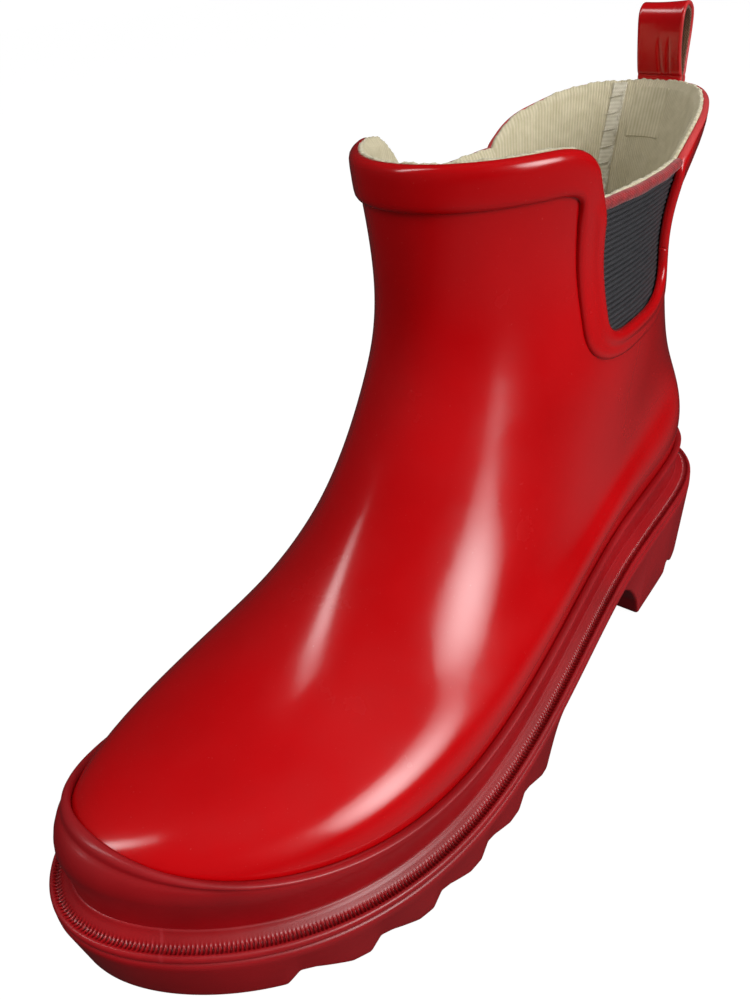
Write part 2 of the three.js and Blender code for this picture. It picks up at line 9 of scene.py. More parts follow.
import bmesh
import bpy
import numpy as np
from mathutils import Matrix, Vector


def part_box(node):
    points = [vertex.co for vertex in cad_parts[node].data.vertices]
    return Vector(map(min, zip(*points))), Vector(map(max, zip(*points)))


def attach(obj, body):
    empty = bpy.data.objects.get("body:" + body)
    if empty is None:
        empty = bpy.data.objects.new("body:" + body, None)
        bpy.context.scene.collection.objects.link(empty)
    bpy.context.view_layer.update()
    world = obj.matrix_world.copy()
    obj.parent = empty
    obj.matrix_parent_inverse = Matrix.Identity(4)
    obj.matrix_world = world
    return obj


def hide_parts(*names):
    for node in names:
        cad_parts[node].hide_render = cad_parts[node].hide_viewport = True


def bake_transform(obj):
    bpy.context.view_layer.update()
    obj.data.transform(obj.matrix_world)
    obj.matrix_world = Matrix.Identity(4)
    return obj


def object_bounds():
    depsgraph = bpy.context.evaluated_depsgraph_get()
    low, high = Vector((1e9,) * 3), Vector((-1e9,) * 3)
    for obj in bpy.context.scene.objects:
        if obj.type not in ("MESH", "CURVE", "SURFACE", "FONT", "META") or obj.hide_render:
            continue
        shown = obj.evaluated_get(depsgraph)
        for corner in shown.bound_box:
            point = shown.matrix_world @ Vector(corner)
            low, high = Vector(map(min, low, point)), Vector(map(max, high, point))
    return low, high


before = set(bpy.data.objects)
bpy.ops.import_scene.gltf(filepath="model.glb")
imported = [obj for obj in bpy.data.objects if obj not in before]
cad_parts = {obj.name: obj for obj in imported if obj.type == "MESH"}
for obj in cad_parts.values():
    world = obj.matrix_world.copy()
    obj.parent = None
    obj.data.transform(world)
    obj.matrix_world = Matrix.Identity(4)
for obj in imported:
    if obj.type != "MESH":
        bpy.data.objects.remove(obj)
CAD_LOW, CAD_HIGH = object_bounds()
MM = 0.001
TURN = 2 * math.pi

# ---- The upper's reference skin: the same driving sections as the CAD source ----

# level, x at the front, x at the back, half width, z at the front, z at the back
SECTIONS = np.array(
    [
        [0.0, 209, -54, 37.5, 30, 37],
        [0.12, 206, -55, 40, 43, 55],
        [0.3, 163, -58, 35.5, 56, 75],
        [0.45, 119, -52, 33, 79, 94],
        [0.6, 92, -45, 32, 112, 116],
        [0.8, 82, -47, 30.5, 146, 146],
        [1.0, 82, -63, 40, 181, 187],
    ]
)
PLAN_BLUNT, PLAN_BLUNT_TOP = 0.037, 0.004
PLAN_BOX, PLAN_BOX_TOP = 0.074, 0.02
TREAD_FLARE, TREAD_WAIST, TREAD_SWEEP, TREAD_BOW, SHAFT_SWEEP = 5, -3.4, -8.6, -2.1, -2
RIM_BALL, RIM_HEEL, TOE_SPRING, TREAD_SPRING = 18, 35, 15.5, 12.5
BALL_X, ARCH_LENGTH, TOE_REACH = 133, 114, 74
FEATHER, TURN_RADIUS, TURN_LEVEL = 10, 8, 0.08
RIM_OVERHANG = 10
TOP_Z, BACK_TOP_Z, GORE_TOP_Z, GORE_FOOT_Z = 178, 175, 162, 121
TOP_LEVEL = 1.06
RUBBER_OUT, RUBBER_IN = 1.5, -0.7  # faces of the upper's sheet, from the reference skin
GORE_FRONT_X, GORE_BACK_X, GORE_FOOT_FRONT_X, GORE_FOOT_BACK_X = 40, -6, 32.5, -10
FOXING_SIDE, FOXING_FALL = 0.6, (128, 214)  # share of its lying part left beside the foot, and where it falls


def mix(a, b, t):
    return a + (b - a) * t


def smooth(a, b, x):
    t = np.clip((x - a) / (b - a), 0, 1)
    return t * t * (3 - 2 * t)


def natural_spline(xs, ys):
    """Natural cubic spline through rows of ys."""
    n, h = len(xs) - 1, np.diff(xs)
    matrix, right = np.eye(n + 1), np.zeros((n + 1, ys.shape[1]))
    for i in range(1, n):
        matrix[i, i - 1 : i + 2] = h[i - 1], 2 * (h[i - 1] + h[i]), h[i]
        right[i] = 6 * ((ys[i + 1] - ys[i]) / h[i] - (ys[i] - ys[i - 1]) / h[i - 1])
    bend = np.linalg.solve(matrix, right)

    def at(x):
        x = np.asarray(x, float)
        i = np.clip(np.searchsorted(xs, x) - 1, 0, n - 1)
        a, b = ((xs[i + 1] - x) / h[i])[..., None], ((x - xs[i]) / h[i])[..., None]
        curve = (a**3 - a) * bend[i] + (b**3 - b) * bend[i + 1]
        return a * ys[i] + b * ys[i + 1] + curve * (h[i] ** 2)[..., None] / 6

    return at


columns = natural_spline(SECTIONS[:, 0], SECTIONS[:, 1:])
SOLE_FRONT_X, SOLE_BACK_X, _, SOLE_FRONT_Z, SOLE_BACK_Z = columns(0.0)


def toe_curve(x):
    return (np.maximum(x - BALL_X, 0) / TOE_REACH) ** 2


def rim(x):
    return mix(RIM_BALL, RIM_HEEL, smooth(0, ARCH_LENGTH, BALL_X - x)) + TOE_SPRING * toe_curve(x)


def skin_point(a, level):
    """Point at angle a (0 at the toe, a quarter turn at the outer side) and level (0 sole, 1 top)."""
    a, v = np.broadcast_arrays(np.asarray(a, float), np.maximum(level, 0.0))
    front_x, back_x, half, front_z, back_z = np.moveaxis(columns(v), -1, 0)
    m = smooth(0, 0.7, v)
    blunt = mix(PLAN_BLUNT, PLAN_BLUNT_TOP, m)
    square = mix(PLAN_BOX, PLAN_BOX_TOP, m)
    run = (1 + np.cos(a) * (1 + blunt) - blunt * np.cos(3 * a)) / 2
    side = np.sin(a) * (1 + square) + square * np.sin(3 * a)
    spread = TREAD_FLARE * np.sin(2 * a) / 2 + TREAD_WAIST * np.sin(4 * a)
    sweep = TREAD_SWEEP * np.cos(a) + TREAD_BOW * np.cos(2 * a)
    y = half * side + (1 - m) * (spread + sweep) + m * SHAFT_SWEEP * np.cos(a)
    sole_x = mix(SOLE_BACK_X, SOLE_FRONT_X, run)
    dip = rim(sole_x) + FEATHER - mix(SOLE_BACK_Z, SOLE_FRONT_Z, run)
    z = mix(back_z, front_z, run) + dip * (1 - smooth(0, 0.45, v))
    return np.stack([mix(back_x, front_x, run), y, z], -1)


def unit(v):
    return v / np.maximum(np.linalg.norm(v, axis=-1, keepdims=True), 1e-12)


def plan_normal(a):
    along = skin_point(a + 1e-3, 0.0) - skin_point(a - 1e-3, 0.0)
    return unit(np.stack([along[..., 1], -along[..., 0], 0 * along[..., 0]], -1))


def skin(a, level, out):
    """Point moved out from the skin along its normal. Below level 0 the skin turns in under the foot."""
    a, level, out = np.broadcast_arrays(*(np.asarray(v, float) for v in (a, level, out)))
    step = 1e-3
    around = skin_point(a + step, level) - skin_point(a - step, level)
    up = skin_point(a, np.maximum(level, 0) + step) - skin_point(a, np.maximum(level - step, 0))
    above = skin_point(a, level) + unit(np.cross(around, up)) * out[..., None]
    turn = np.clip(-level / TURN_LEVEL, 0, 1) * math.pi / 2
    reach = TURN_RADIUS + out
    below = skin_point(a, 0.0) + plan_normal(a) * (reach * np.cos(turn) - TURN_RADIUS)[..., None]
    below[..., 2] -= reach * np.sin(turn)
    return np.where((level < 0)[..., None], below, above)


def level_at(a, z):
    """Level of the skin at a height."""
    a, z = np.broadcast_arrays(np.asarray(a, float), np.asarray(z, float))
    low, high = np.zeros(a.shape), np.full(a.shape, TOP_LEVEL)
    for _ in range(32):
        middle = (low + high) / 2
        under = skin_point(a, middle)[..., 2] < z
        low, high = np.where(under, middle, low), np.where(under, high, middle)
    return low


def angle_where(axis, value, z, start, stop):
    """Angle between start and stop where a coordinate of the skin at height z has fallen to a value."""
    value, z = np.broadcast_arrays(np.asarray(value, float), np.asarray(z, float))
    level = np.full(value.shape, 0.8)
    for _ in range(10):
        low, high = np.full(value.shape, float(start)), np.full(value.shape, float(stop))
        for _ in range(26):
            middle = (low + high) / 2
            before = skin_point(middle, level)[..., axis] > value
            low, high = np.where(before, middle, low), np.where(before, high, middle)
        level = level_at(low, z)
    return low


def side_angle(x, z, side):
    """Angle at x and z on the outer (side 1) or inner (side -1) side of the boot."""
    return angle_where(0, x, z, 0, side * math.pi)


# ---- Placing and meshing ----

OUTSOLE_LOW, OUTSOLE_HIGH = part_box("outsole")


def sole_loop(a, out, up):
    """Loop beyond the plan of the sole by a distance, at a height above the rim."""
    p = skin_point(a, 0.0)
    z = rim(p[..., 0]) + up
    p = p + plan_normal(a) * np.asarray(out, float)[..., None]
    p[..., 2] = z
    return p


ENDS = sole_loop(np.array([0, math.pi]), RIM_OVERHANG, 0.0)[:, 0]
SCALE = (OUTSOLE_HIGH.x - OUTSOLE_LOW.x) / (ENDS[0] - ENDS[1])
SHIFT = np.array([OUTSOLE_HIGH.x - ENDS[0] * SCALE, 0, OUTSOLE_LOW.z])


def place(points):
    """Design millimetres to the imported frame's metres."""
    return np.asarray(points, float) * SCALE + SHIFT


def grid_faces(rows, cols, close_rows=False, close_cols=False):
    r, c = np.meshgrid(np.arange(rows - (not close_rows)), np.arange(cols - (not close_cols)), indexing="ij")
    r1, c1 = (r + 1) % rows, (c + 1) % cols
    return np.stack([r * cols + c, r * cols + c1, r1 * cols + c1, r1 * cols + c], -1).reshape(-1, 4)


def section_caps(rows, cols):
    """Faces that close the first and last row of a tube of closed sections."""
    bases = (0, (rows - 1) * cols)
    steps = range((cols - 1) // 2)
    return np.array([[b + i, b + i + 1, b + cols - 2 - i, b + cols - 1 - i] for b in bases for i in steps])


def build(name, points, faces, material, flow=None):
    """Mesh object from design points. flow holds (along, across, tint) for the materials."""
    mesh = bpy.data.meshes.new(name)
    corners = [list(dict.fromkeys(f)) for f in faces.tolist()]
    mesh.from_pydata(place(points.reshape(-1, 3)).tolist(), [], corners)
    if flow is not None:
        data = mesh.attributes.new("flow", "FLOAT_VECTOR", "POINT").data
        data.foreach_set("vector", np.ascontiguousarray(flow.reshape(-1, 3), dtype=np.float32).ravel())
    bm = bmesh.new()
    bm.from_mesh(mesh)
    bmesh.ops.remove_doubles(bm, verts=bm.verts, dist=1e-7)
    bmesh.ops.recalc_face_normals(bm, faces=bm.faces)
    for face in bm.faces:
        face.smooth = True
    bm.to_mesh(mesh)
    bm.free()
    mesh.materials.append(material)
    obj = bpy.data.objects.new(name, mesh)
    bpy.context.scene.collection.objects.link(obj)
    return obj


def lattice(along, across, tint=0.0):
    """Flow attribute for a grid: along runs down the rows, across along the columns."""
    u, v = np.broadcast_arrays(along, across)
    return np.stack([u, v, np.broadcast_to(tint, u.shape)], -1)


def slab(name, outer, inner, material, keep=None, close_cols=False, flow=None):
    """Closed sheet between two grids of points. keep says which faces of the grid are there."""
    rows, cols = outer.shape[:2]
    faces = grid_faces(rows, cols, close_cols=close_cols)
    if keep is not None:
        faces = faces[keep.reshape(-1)[: len(faces)]]
    edges = np.concatenate([faces[:, [i, (i + 1) % 4]] for i in range(4)])
    key = np.sort(edges, 1)
    _, index, count = np.unique(key[:, 0] * rows * cols + key[:, 1], return_index=True, return_counts=True)
    rim_edges = edges[index[count == 1]]
    offset = rows * cols
    first, second = rim_edges.T
    walls = np.stack([second, first, first + offset, second + offset], -1)
    faces = np.concatenate([faces, faces[:, ::-1] + offset, walls])
    used, remap = np.unique(faces, return_inverse=True)
    points = np.concatenate([outer.reshape(-1, 3), inner.reshape(-1, 3)])[used]
    if flow is not None:
        flow = np.concatenate([flow.reshape(-1, 3)] * 2)[used]
    return build(name, points, remap.reshape(faces.shape), material, flow)


# ---- Materials ----


class Nodes:
    """Small helper that adds shader nodes and links them."""

    def __init__(self, name):
        self.material = bpy.data.materials.new(name)
        self.material.use_nodes = True
        self.tree = self.material.node_tree
        self.shader = self.tree.nodes["Principled BSDF"]
        self.coords = self.add("ShaderNodeTexCoord").outputs["Object"]

    def add(self, kind, inputs=None, **settings):
        node = self.tree.nodes.new(kind)
        for key, value in settings.items():
            setattr(node, key, value)
        for key, value in (inputs or {}).items():
            self.put(node.inputs[key], value)
        return node

    def put(self, socket, value):
        if isinstance(value, bpy.types.NodeSocket):
            self.tree.links.new(value, socket)
        elif hasattr(socket.default_value, "__len__") and not hasattr(value, "__len__"):
            socket.default_value = [value] * len(socket.default_value)
        else:
            socket.default_value = value

    def noise(self, scale, detail=3.0, roughness=0.5, vector=None):
        inputs = {"Vector": vector or self.coords, "Scale": scale, "Detail": detail, "Roughness": roughness}
        return self.add("ShaderNodeTexNoise", inputs).outputs["Fac"]

    def math(self, operation, a, b=0.0, c=0.0):
        return self.add("ShaderNodeMath", {0: a, 1: b, 2: c}, operation=operation).outputs[0]

    def ramp(self, value, low, high, to_low=0.0, to_high=1.0):
        inputs = {"Value": value, "From Min": low, "From Max": high, "To Min": to_low, "To Max": to_high}
        return self.add("ShaderNodeMapRange", inputs).outputs["Result"]

    def blend(self, factor, a, b, mode="MIX"):
        node = self.add("ShaderNodeMix", {"Factor": factor}, data_type="RGBA", blend_type=mode)
        self.put(node.inputs[6], a)
        self.put(node.inputs[7], b)
        return node.outputs[2]

    def flow(self):
        attribute = self.add("ShaderNodeAttribute", attribute_name="flow")
        split = self.add("ShaderNodeSeparateXYZ", {0: attribute.outputs["Vector"]})
        return split.outputs

    def bump(self, height, distance, strength=1.0, normal=None):
        inputs = {"Height": height, "Distance": distance * MM, "Strength": strength}
        if normal is not None:
            inputs["Normal"] = normal
        return self.add("ShaderNodeBump", inputs).outputs["Normal"]

    def finish(self, **inputs):
        for key, value in inputs.items():
            self.put(self.shader.inputs[key.replace("_", " ")], value)
        return self.material


def colour(r, g, b):
    """Linear colour from display values between 0 and 255."""
    linear = [((v / 255 + 0.055) / 1.055) ** 2.4 if v > 10 else v / 255 / 12.92 for v in (r, g, b)]
    return (*linear, 1.0)


def gloss_rubber(name, base, deep, edge):
    """Lacquered rubber: faint orange peel under a clear coat, soft mottling, dust and a paler cut edge that
    is partly the rubber's own matt edge and partly a painted highlight.
    """
    n = Nodes(name)
    mottle = n.ramp(n.noise(22, 4), 0.3, 0.7)
    body = n.blend(mottle, deep, base)
    tint = n.flow()[2]
    # Paler cut edge: partly the matt rubber's own colour, partly a painted highlight on the rounded rim.
    body = n.blend(tint, body, edge)
    specks = n.ramp(n.noise(2100, 0), 0.83, 0.86)
    body = n.blend(n.math("MULTIPLY", specks, 0.14), body, colour(214, 120, 116))
    peel = n.bump(n.noise(260, 2), 0.05, 0.35)
    waves = n.bump(n.noise(34, 2), 0.5, 0.22, peel)
    smear = n.ramp(n.noise(46, 5, 0.6), 0.35, 0.75, 0.17, 0.30)
    rough = n.math("ADD", smear, n.math("MULTIPLY", tint, 0.25))
    coat = n.ramp(tint, 0, 1, 0.9, 0.2)
    coat_rough = n.ramp(n.noise(80, 4), 0.3, 0.8, 0.09, 0.17)
    return n.finish(
        Base_Color=body,
        Roughness=rough,
        Normal=waves,
        Coat_Weight=coat,
        Coat_Roughness=coat_rough,
        Coat_Normal=waves,
        Specular_IOR_Level=0.22,
        IOR=1.48,
    )


def satin_rubber(name, base, deep):
    """Moulded sole rubber: satin skin with fine grain and mould haze, paler on convex edges as a painted
    highlight and darker in the low places as painted shade.
    """
    n = Nodes(name)
    body = n.blend(n.ramp(n.noise(30, 5), 0.3, 0.7), deep, base)
    geometry = n.add("ShaderNodeNewGeometry").outputs["Pointiness"]
    # Painted highlight: convex edges (high pointiness) are paled towards pink.
    body = n.blend(n.ramp(geometry, 0.52, 0.60, 0, 0.15), body, colour(206, 70, 78))
    # Painted shade: hollows (low pointiness) are darkened towards a deep red.
    body = n.blend(n.ramp(geometry, 0.40, 0.48, 0.45, 0), body, colour(66, 10, 14))
    grain = n.bump(n.noise(1500, 3), 0.04, 0.5)
    waves = n.bump(n.noise(60, 3), 0.25, 0.25, grain)
    rough = n.ramp(n.noise(70, 5), 0.3, 0.75, 0.36, 0.52)
    return n.finish(
        Base_Color=body,
        Roughness=rough,
        Normal=waves,
        Coat_Weight=0.45,
        Coat_Roughness=0.22,
        Specular_IOR_Level=0.3,
    )


def textile(
    name, base, deep, pitch, weave_depth, rib_axis=1, rib_pitch=1.0, rib_tint=0.5, rough=0.9, sheen=0.25
):
    """Woven cloth: a plain weave along the flow, shaded ribs, slubs and soft sheen."""
    n = Nodes(name)
    flow = n.flow()
    warp = n.math("SINE", n.math("MULTIPLY", flow[0], TURN / pitch))
    weft = n.math("SINE", n.math("MULTIPLY", flow[1], TURN / pitch))
    weave = n.math("MULTIPLY", warp, weft)
    rib = n.math("COSINE", n.math("MULTIPLY", flow[rib_axis], TURN / rib_pitch))
    slub = n.noise(300, 4)
    shade = n.math("ADD", n.ramp(rib, -1, 1, 0, rib_tint), n.ramp(slub, 0.3, 0.7, 0, 1 - rib_tint))
    body = n.blend(shade, deep, base)
    body = n.blend(n.ramp(weave, -1, 1, 0, 0.18), body, deep)
    fuzz = n.bump(slub, 0.12, 0.5)
    normal = n.bump(weave, weave_depth, 0.8, fuzz)
    return n.finish(Base_Color=body, Roughness=rough, Normal=normal, Sheen_Weight=sheen, Sheen_Roughness=0.5)


def plain_matt(name, base, deep, scale, metallic=0.0, rough=0.85, depth=0.2):
    """Matt hidden material: sponge, board, canvas or rolled steel."""
    n = Nodes(name)
    grain = n.noise(scale, 6, 0.65)
    body = n.blend(n.ramp(grain, 0.3, 0.7), deep, base)
    rough_map = n.ramp(grain, 0.2, 0.8, rough - 0.1, min(rough + 0.1, 1.0))
    return n.finish(Base_Color=body, Roughness=rough_map, Metallic=metallic, Normal=n.bump(grain, depth, 0.6))


# The third colour is the paler cut edge, partly a painted highlight.
UPPER_RED = gloss_rubber("upper_rubber", colour(190, 2, 8), colour(176, 1, 5), colour(198, 74, 74))
SOLE_RED = satin_rubber("sole_rubber", colour(160, 9, 18), colour(138, 5, 12))
BINDING_RED = textile("gore_binding", colour(168, 12, 18), colour(122, 5, 10), 0.7, 0.08, 0, 2.4, 0.4, 0.6)
LINING = textile("lining_cotton", colour(216, 206, 178), colour(180, 170, 136), 0.5, 0.06, 1, 1.32, 0.55)
TAPE = textile("lining_tape", colour(228, 222, 204), colour(180, 172, 146), 0.6, 0.08, 0, 1.2, 0.4)
# The elastic's rib colours are painted light: near-black in the grooves between the ribs as painted shade,
# grey on the rib tops as a painted highlight.
ELASTIC = textile("gore_elastic", colour(58, 58, 62), colour(3, 3, 4), 0.55, 0.08, 0, 1.6, 0.85, 0.5, 0.05)
# The webbing's brown is partly its own tan and partly painted red bounce light from the rubber strap around
# it.
WEBBING = textile("tab_webbing", colour(150, 104, 72), colour(84, 54, 36), 0.8, 0.12, 1, 1.6, 0.5, 0.85)
FOOTBED = textile("footbed", colour(214, 207, 184), colour(160, 152, 128), 0.8, 0.08, 0, 1.6, 0.4)
THREAD = textile("thread", colour(232, 226, 208), colour(186, 178, 156), 0.4, 0.05, 0, 0.5, 0.5)
FOAM = plain_matt("foam_filler", colour(66, 66, 68), colour(40, 40, 42), 700)
STEEL = plain_matt("shank_steel", colour(172, 174, 176), colour(136, 138, 141), 260, 1.0, 0.4, 0.03)
BOARD = plain_matt("insole_board", colour(166, 132, 92), colour(128, 98, 66), 420)
CANVAS = plain_matt("stiffener", colour(98, 92, 84), colour(70, 66, 60), 800)

KEPT = {
    "heel_filler": FOAM,
    "sole_filler": FOAM,
    "shank": STEEL,
    "insole_board": BOARD,
    "toe_stiffener": CANVAS,
    "heel_counter": CANVAS,
}
for node, material in KEPT.items():
    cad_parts[node].data.materials.clear()
    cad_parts[node].data.materials.append(material)


# ---- The shaft's edges ----

AROUND = 40.0  # millimetres of path to one radian round the shaft


def follow(corners, t):
    """Polyline of (u, z, radius) corners at parameters t, one unit to a leg, its corners rounded."""
    points, radii = corners[:, :2], corners[:, 2]
    legs = np.linalg.norm(np.diff(points, axis=0), axis=1)
    i = np.clip(np.floor(t).astype(int), 0, len(legs) - 1)
    out = points[i] + (points[i + 1] - points[i]) * (t - i)[:, None]
    for k in range(1, len(legs)):
        if radii[k] <= 0:
            continue
        back, ahead = min(radii[k] / legs[k - 1], 0.5), min(radii[k] / legs[k], 0.5)
        inside = (t > k - back) & (t < k + ahead)
        w = ((t[inside] - (k - back)) / (back + ahead))[:, None]
        start = points[k] + (points[k - 1] - points[k]) * back
        stop = points[k] + (points[k + 1] - points[k]) * ahead
        out[inside] = (1 - w) ** 2 * start + 2 * w * (1 - w) * points[k] + w * w * stop
    return out


# The top edge, then round the gore and up to the back: [x, z, radius] between the middles of front and back.
INNER_EDGE = [(50, TOP_Z, 8), (GORE_FRONT_X, GORE_TOP_Z, 5), (GORE_FOOT_FRONT_X, GORE_FOOT_Z, 7)]
INNER_EDGE += [(GORE_FOOT_BACK_X, GORE_FOOT_Z, 12), (GORE_BACK_X, GORE_TOP_Z, 3)]
INNER_EDGE += [(-19, 169.5, 5), (-45, BACK_TOP_Z, 8)]
# The raised trim's outer edge, corner by corner.
OUTER_EDGE = [(51, TOP_Z - 11, 6), (49.5, 159, 0), (43, 112.5, 15), (-19, 113.5, 16)]
OUTER_EDGE += [(-13.5, 156, 4), (-25, 162, 6), (-47, 167, 8)]
BAND_FRONT, BAND_BACK = 11, 8
PARTING = 4.35  # where on the gore's back edge the front and back trims meet


def corners_of(edge, drop_front, drop_back, side):
    rows = [(0, TOP_Z - drop_front, 0)]
    rows += [(abs(side_angle(x, z, side)) * AROUND, z, r) for x, z, r in edge]
    rows += [(math.pi * AROUND, BACK_TOP_Z - drop_back, 0)]
    return np.array(rows, float)


EDGES = {
    side: (corners_of(INNER_EDGE, 0, 0, side), corners_of(OUTER_EDGE, BAND_FRONT, BAND_BACK, side))
    for side in (1, -1)
}


def top_edge(side):
    """Top edge of the boot on one side as angles (unsigned) and heights, single-valued from front to back."""
    t = np.concatenate([np.linspace(0, 2, 120), np.linspace(5, 8, 160)])
    path = follow(EDGES[side][0], t)
    path[:, 1] = np.maximum(path[:, 1], GORE_TOP_Z)
    keep = np.concatenate([[True], np.diff(np.maximum.accumulate(path[:, 0])) > 1e-6])
    return path[keep, 0] / AROUND, path[keep, 1]


TOPS = {side: top_edge(side) for side in (1, -1)}


def top_z(a):
    """Height of the top edge at signed angles between half turns."""
    folded = (a + math.pi) % TURN - math.pi
    return np.where(
        folded >= 0,
        np.interp(np.abs(folded), *TOPS[1]),
        np.interp(np.abs(folded), *TOPS[-1]),
    )


def even_path(side, start, stop, spacing):
    """Parameters along the trim, evenly spaced on its middle line."""
    t = np.linspace(start, stop, 3000)
    middle = (follow(EDGES[side][0], t) + follow(EDGES[side][1], t)) / 2
    length = np.concatenate([[0], np.cumsum(np.linalg.norm(np.diff(middle, axis=0), axis=1))])
    count = int(length[-1] / spacing) + 1
    return np.interp(np.linspace(0, length[-1], count), length, t)


# Sections of the raised trim: millimetres in from the inner edge and out from the skin. Negative distances
# count back from the outer edge. The first is for the top edge, the second for beside the gore.
TOP_SECTION = [(2.6, -0.8), (1.5, -0.8), (0.5, -0.5), (0.15, -0.25), (0, 0.3), (0.1, 1.0), (0.4, 1.7)]
TOP_SECTION += [(0.95, 2.25), (1.8, 2.6), (3.2, 2.8), (4.4, 2.9), (5.4, 2.95), (6.2, 3.0), (7, 3.05)]
TOP_SECTION += [(-2.2, 3.1), (-1.1, 3.0), (-0.4, 2.65), (-0.06, 2.1), (-0.001, 1.4), (-1, 1.3), (2.6, 1.3)]
GORE_SECTION = [(2.6, 0.9), (0.9, 0.9), (0.25, 0.92), (0.03, 1.1), (0, 1.5), (0.05, 2.1), (0.3, 2.7)]
GORE_SECTION += [(0.75, 3.2), (1.5, 3.5), (2.8, 3.55), (3.6, 3.45), (4.3, 3.15), (5, 2.98), (5.8, 2.95)]
GORE_SECTION += [(-2.2, 3.0), (-1.1, 2.85), (-0.4, 2.5), (-0.06, 2.0), (-0.001, 1.4), (-1, 1.3), (2.6, 1.3)]
FULL_WIDTH = 9.5


def trim_grid(side, t):
    """Grid of points of the raised trim: a closed section at each parameter."""
    inner, outer = follow(EDGES[side][0], t), follow(EDGES[side][1], t)
    width = np.linalg.norm(outer - inner, axis=1)[:, None]
    behind = smooth(5.1, 5.8, t)[:, None]
    by_gore = (smooth(1.75, 2.15, t) * (1 - smooth(4.85, 5.15, t)))[:, None]
    shrink = np.minimum(width / FULL_WIDTH, 1)
    top, gore = np.array(TOP_SECTION, float), np.array(GORE_SECTION, float)

    def inward(section):
        d = section[:, 0][None]
        return np.where(d >= 0, d * shrink, width + d * shrink)

    d = mix(inward(top), inward(gore), by_gore)
    out = mix(top[:, 1][None], gore[:, 1][None], by_gore)
    out = np.where(out > 1.5, mix(out, 1.5 + (out - 1.5) * mix(0.35, 0.8, smooth(1, 6, d)), behind), out)
    out = out + 0.45 * behind * np.exp(-(((d - 2.6) / 0.55) ** 2)) * (out > 1.35)
    spot = inner[:, None] + (outer - inner)[:, None] * (d / width)[..., None]
    a = side * spot[..., 0] / AROUND
    points = skin(a, level_at(a, spot[..., 1]), out)
    # Pales the rounded top lip of the back edge: partly a matt cut edge, partly a painted highlight.
    tint = np.where(d < 0.7, 0.75, 0.0) * (1 - by_gore) * smooth(4.6, 5.4, t)[:, None]
    return points, np.stack([np.broadcast_to(t[:, None] * 10, d.shape), d, tint], -1)


def make_trim(name, start, stop, *nodes):
    """Raised trim over both sides of the boot, joined at the middle of the front or the back."""
    grids, flows = [], []
    for side in (1, -1):
        t = even_path(side, start, stop, 0.8)
        points, flow = trim_grid(side, t)
        grids.append(points)
        flows.append(flow)
    if start == 0:
        points = np.concatenate([grids[1][::-1], grids[0][1:]])
        flow = np.concatenate([flows[1][::-1], flows[0][1:]])
    else:
        points = np.concatenate([grids[0], grids[1][::-1][1:]])
        flow = np.concatenate([flows[0], flows[1][::-1][1:]])
    rows, cols = points.shape[:2]
    faces = grid_faces(rows, cols, close_cols=True)
    obj = build(name, points, np.concatenate([faces, section_caps(rows, cols)]), UPPER_RED, flow)
    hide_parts(*nodes)
    return obj


def shaft(obj):
    """Bakes the placement of a piece of the shaft into its mesh."""
    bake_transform(obj)
    return obj


# ---- The upper, its lining and the gores ----


def in_gore(points, grow):
    """Whether points lie in the gore's opening grown by an amount."""
    x, z = points[..., 0], points[..., 2]
    rise = (z - GORE_FOOT_Z) / (GORE_TOP_Z - GORE_FOOT_Z)
    front = mix(GORE_FOOT_FRONT_X, GORE_FRONT_X, rise)
    back = mix(GORE_FOOT_BACK_X, GORE_BACK_X, rise)
    beside = (x < front + grow) & (x > back - grow) & (z > GORE_FOOT_Z - grow)
    return beside


def make_upper():
    a = np.linspace(-math.pi, math.pi, 560, endpoint=False)
    turn, foot, leg = np.linspace(-TURN_LEVEL, 0, 9), np.linspace(0, 0.4, 40), np.linspace(0.4, 1, 84)
    levels = np.concatenate([turn[:-1], foot[:-1], leg])
    high = level_at(a, top_z(a) - 3.2)
    low = np.minimum(levels, 0.4)
    v = low[:, None] + np.maximum(levels[:, None] - 0.4, 0) / 0.6 * (high[None] - 0.4)
    outer, inner = skin(a[None], v, RUBBER_OUT), skin(a[None], v, RUBBER_IN)
    centre = (outer + np.roll(outer, -1, 1)) / 2
    centre = (centre[:-1] + centre[1:]) / 2
    obj = slab("upper_skin", outer, inner, UPPER_RED, keep=~in_gore(centre, 3.2), close_cols=True,
               flow=lattice(v * 200, a[None] * AROUND))
    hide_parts("upper_front", "upper_back")
    return shaft(obj)


def make_lining():
    """Ribbed cotton stocking inside the rubber, its raw edge a little below the top."""
    count = 1656
    a = np.linspace(-math.pi, math.pi, count, endpoint=False)
    under, wall, rim_rows = np.linspace(-0.9, 0, 6), np.linspace(0, 0.985, 32), np.linspace(0.985, 1, 5)
    rows = np.concatenate([under[:-1], wall[:-1], rim_rows])
    fray = 0.22 * np.sin(31 * a) * np.sin(13 * a + 1) + 0.12 * np.sin(97 * a)
    top = top_z(a)
    high = level_at(a, top - 0.15 + fray)
    v = np.where(rows[:, None] < 0, rows[:, None] * TURN_LEVEL, rows[:, None] * high[None])
    rib = 0.1 * np.cos(np.arange(count) * TURN / 6)
    fade = smooth(0.12, 0.3, v)
    flare = smooth(0.985, 1, rows)[:, None]
    inner = skin(a[None], v, -2.45 + rib[None] * fade + 0.9 * flare)
    outer = skin(a[None], v, -1.05 + 0.65 * flare)
    flow = lattice(v * 190, np.arange(count)[None] * 0.22)
    obj = slab("lining", inner, outer, LINING, close_cols=True, flow=flow)
    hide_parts("lining_front", "lining_back")
    return shaft(obj)


def gore_span(side, z, beyond):
    """Angles of the gore's front and back edges at heights, widened by millimetres."""
    rise = (z - GORE_FOOT_Z) / (GORE_TOP_Z - GORE_FOOT_Z)
    front = side_angle(mix(GORE_FOOT_FRONT_X, GORE_FRONT_X, rise) + beyond, z, side)
    back = side_angle(mix(GORE_FOOT_BACK_X, GORE_BACK_X, rise) - beyond, z, side)
    return front, back


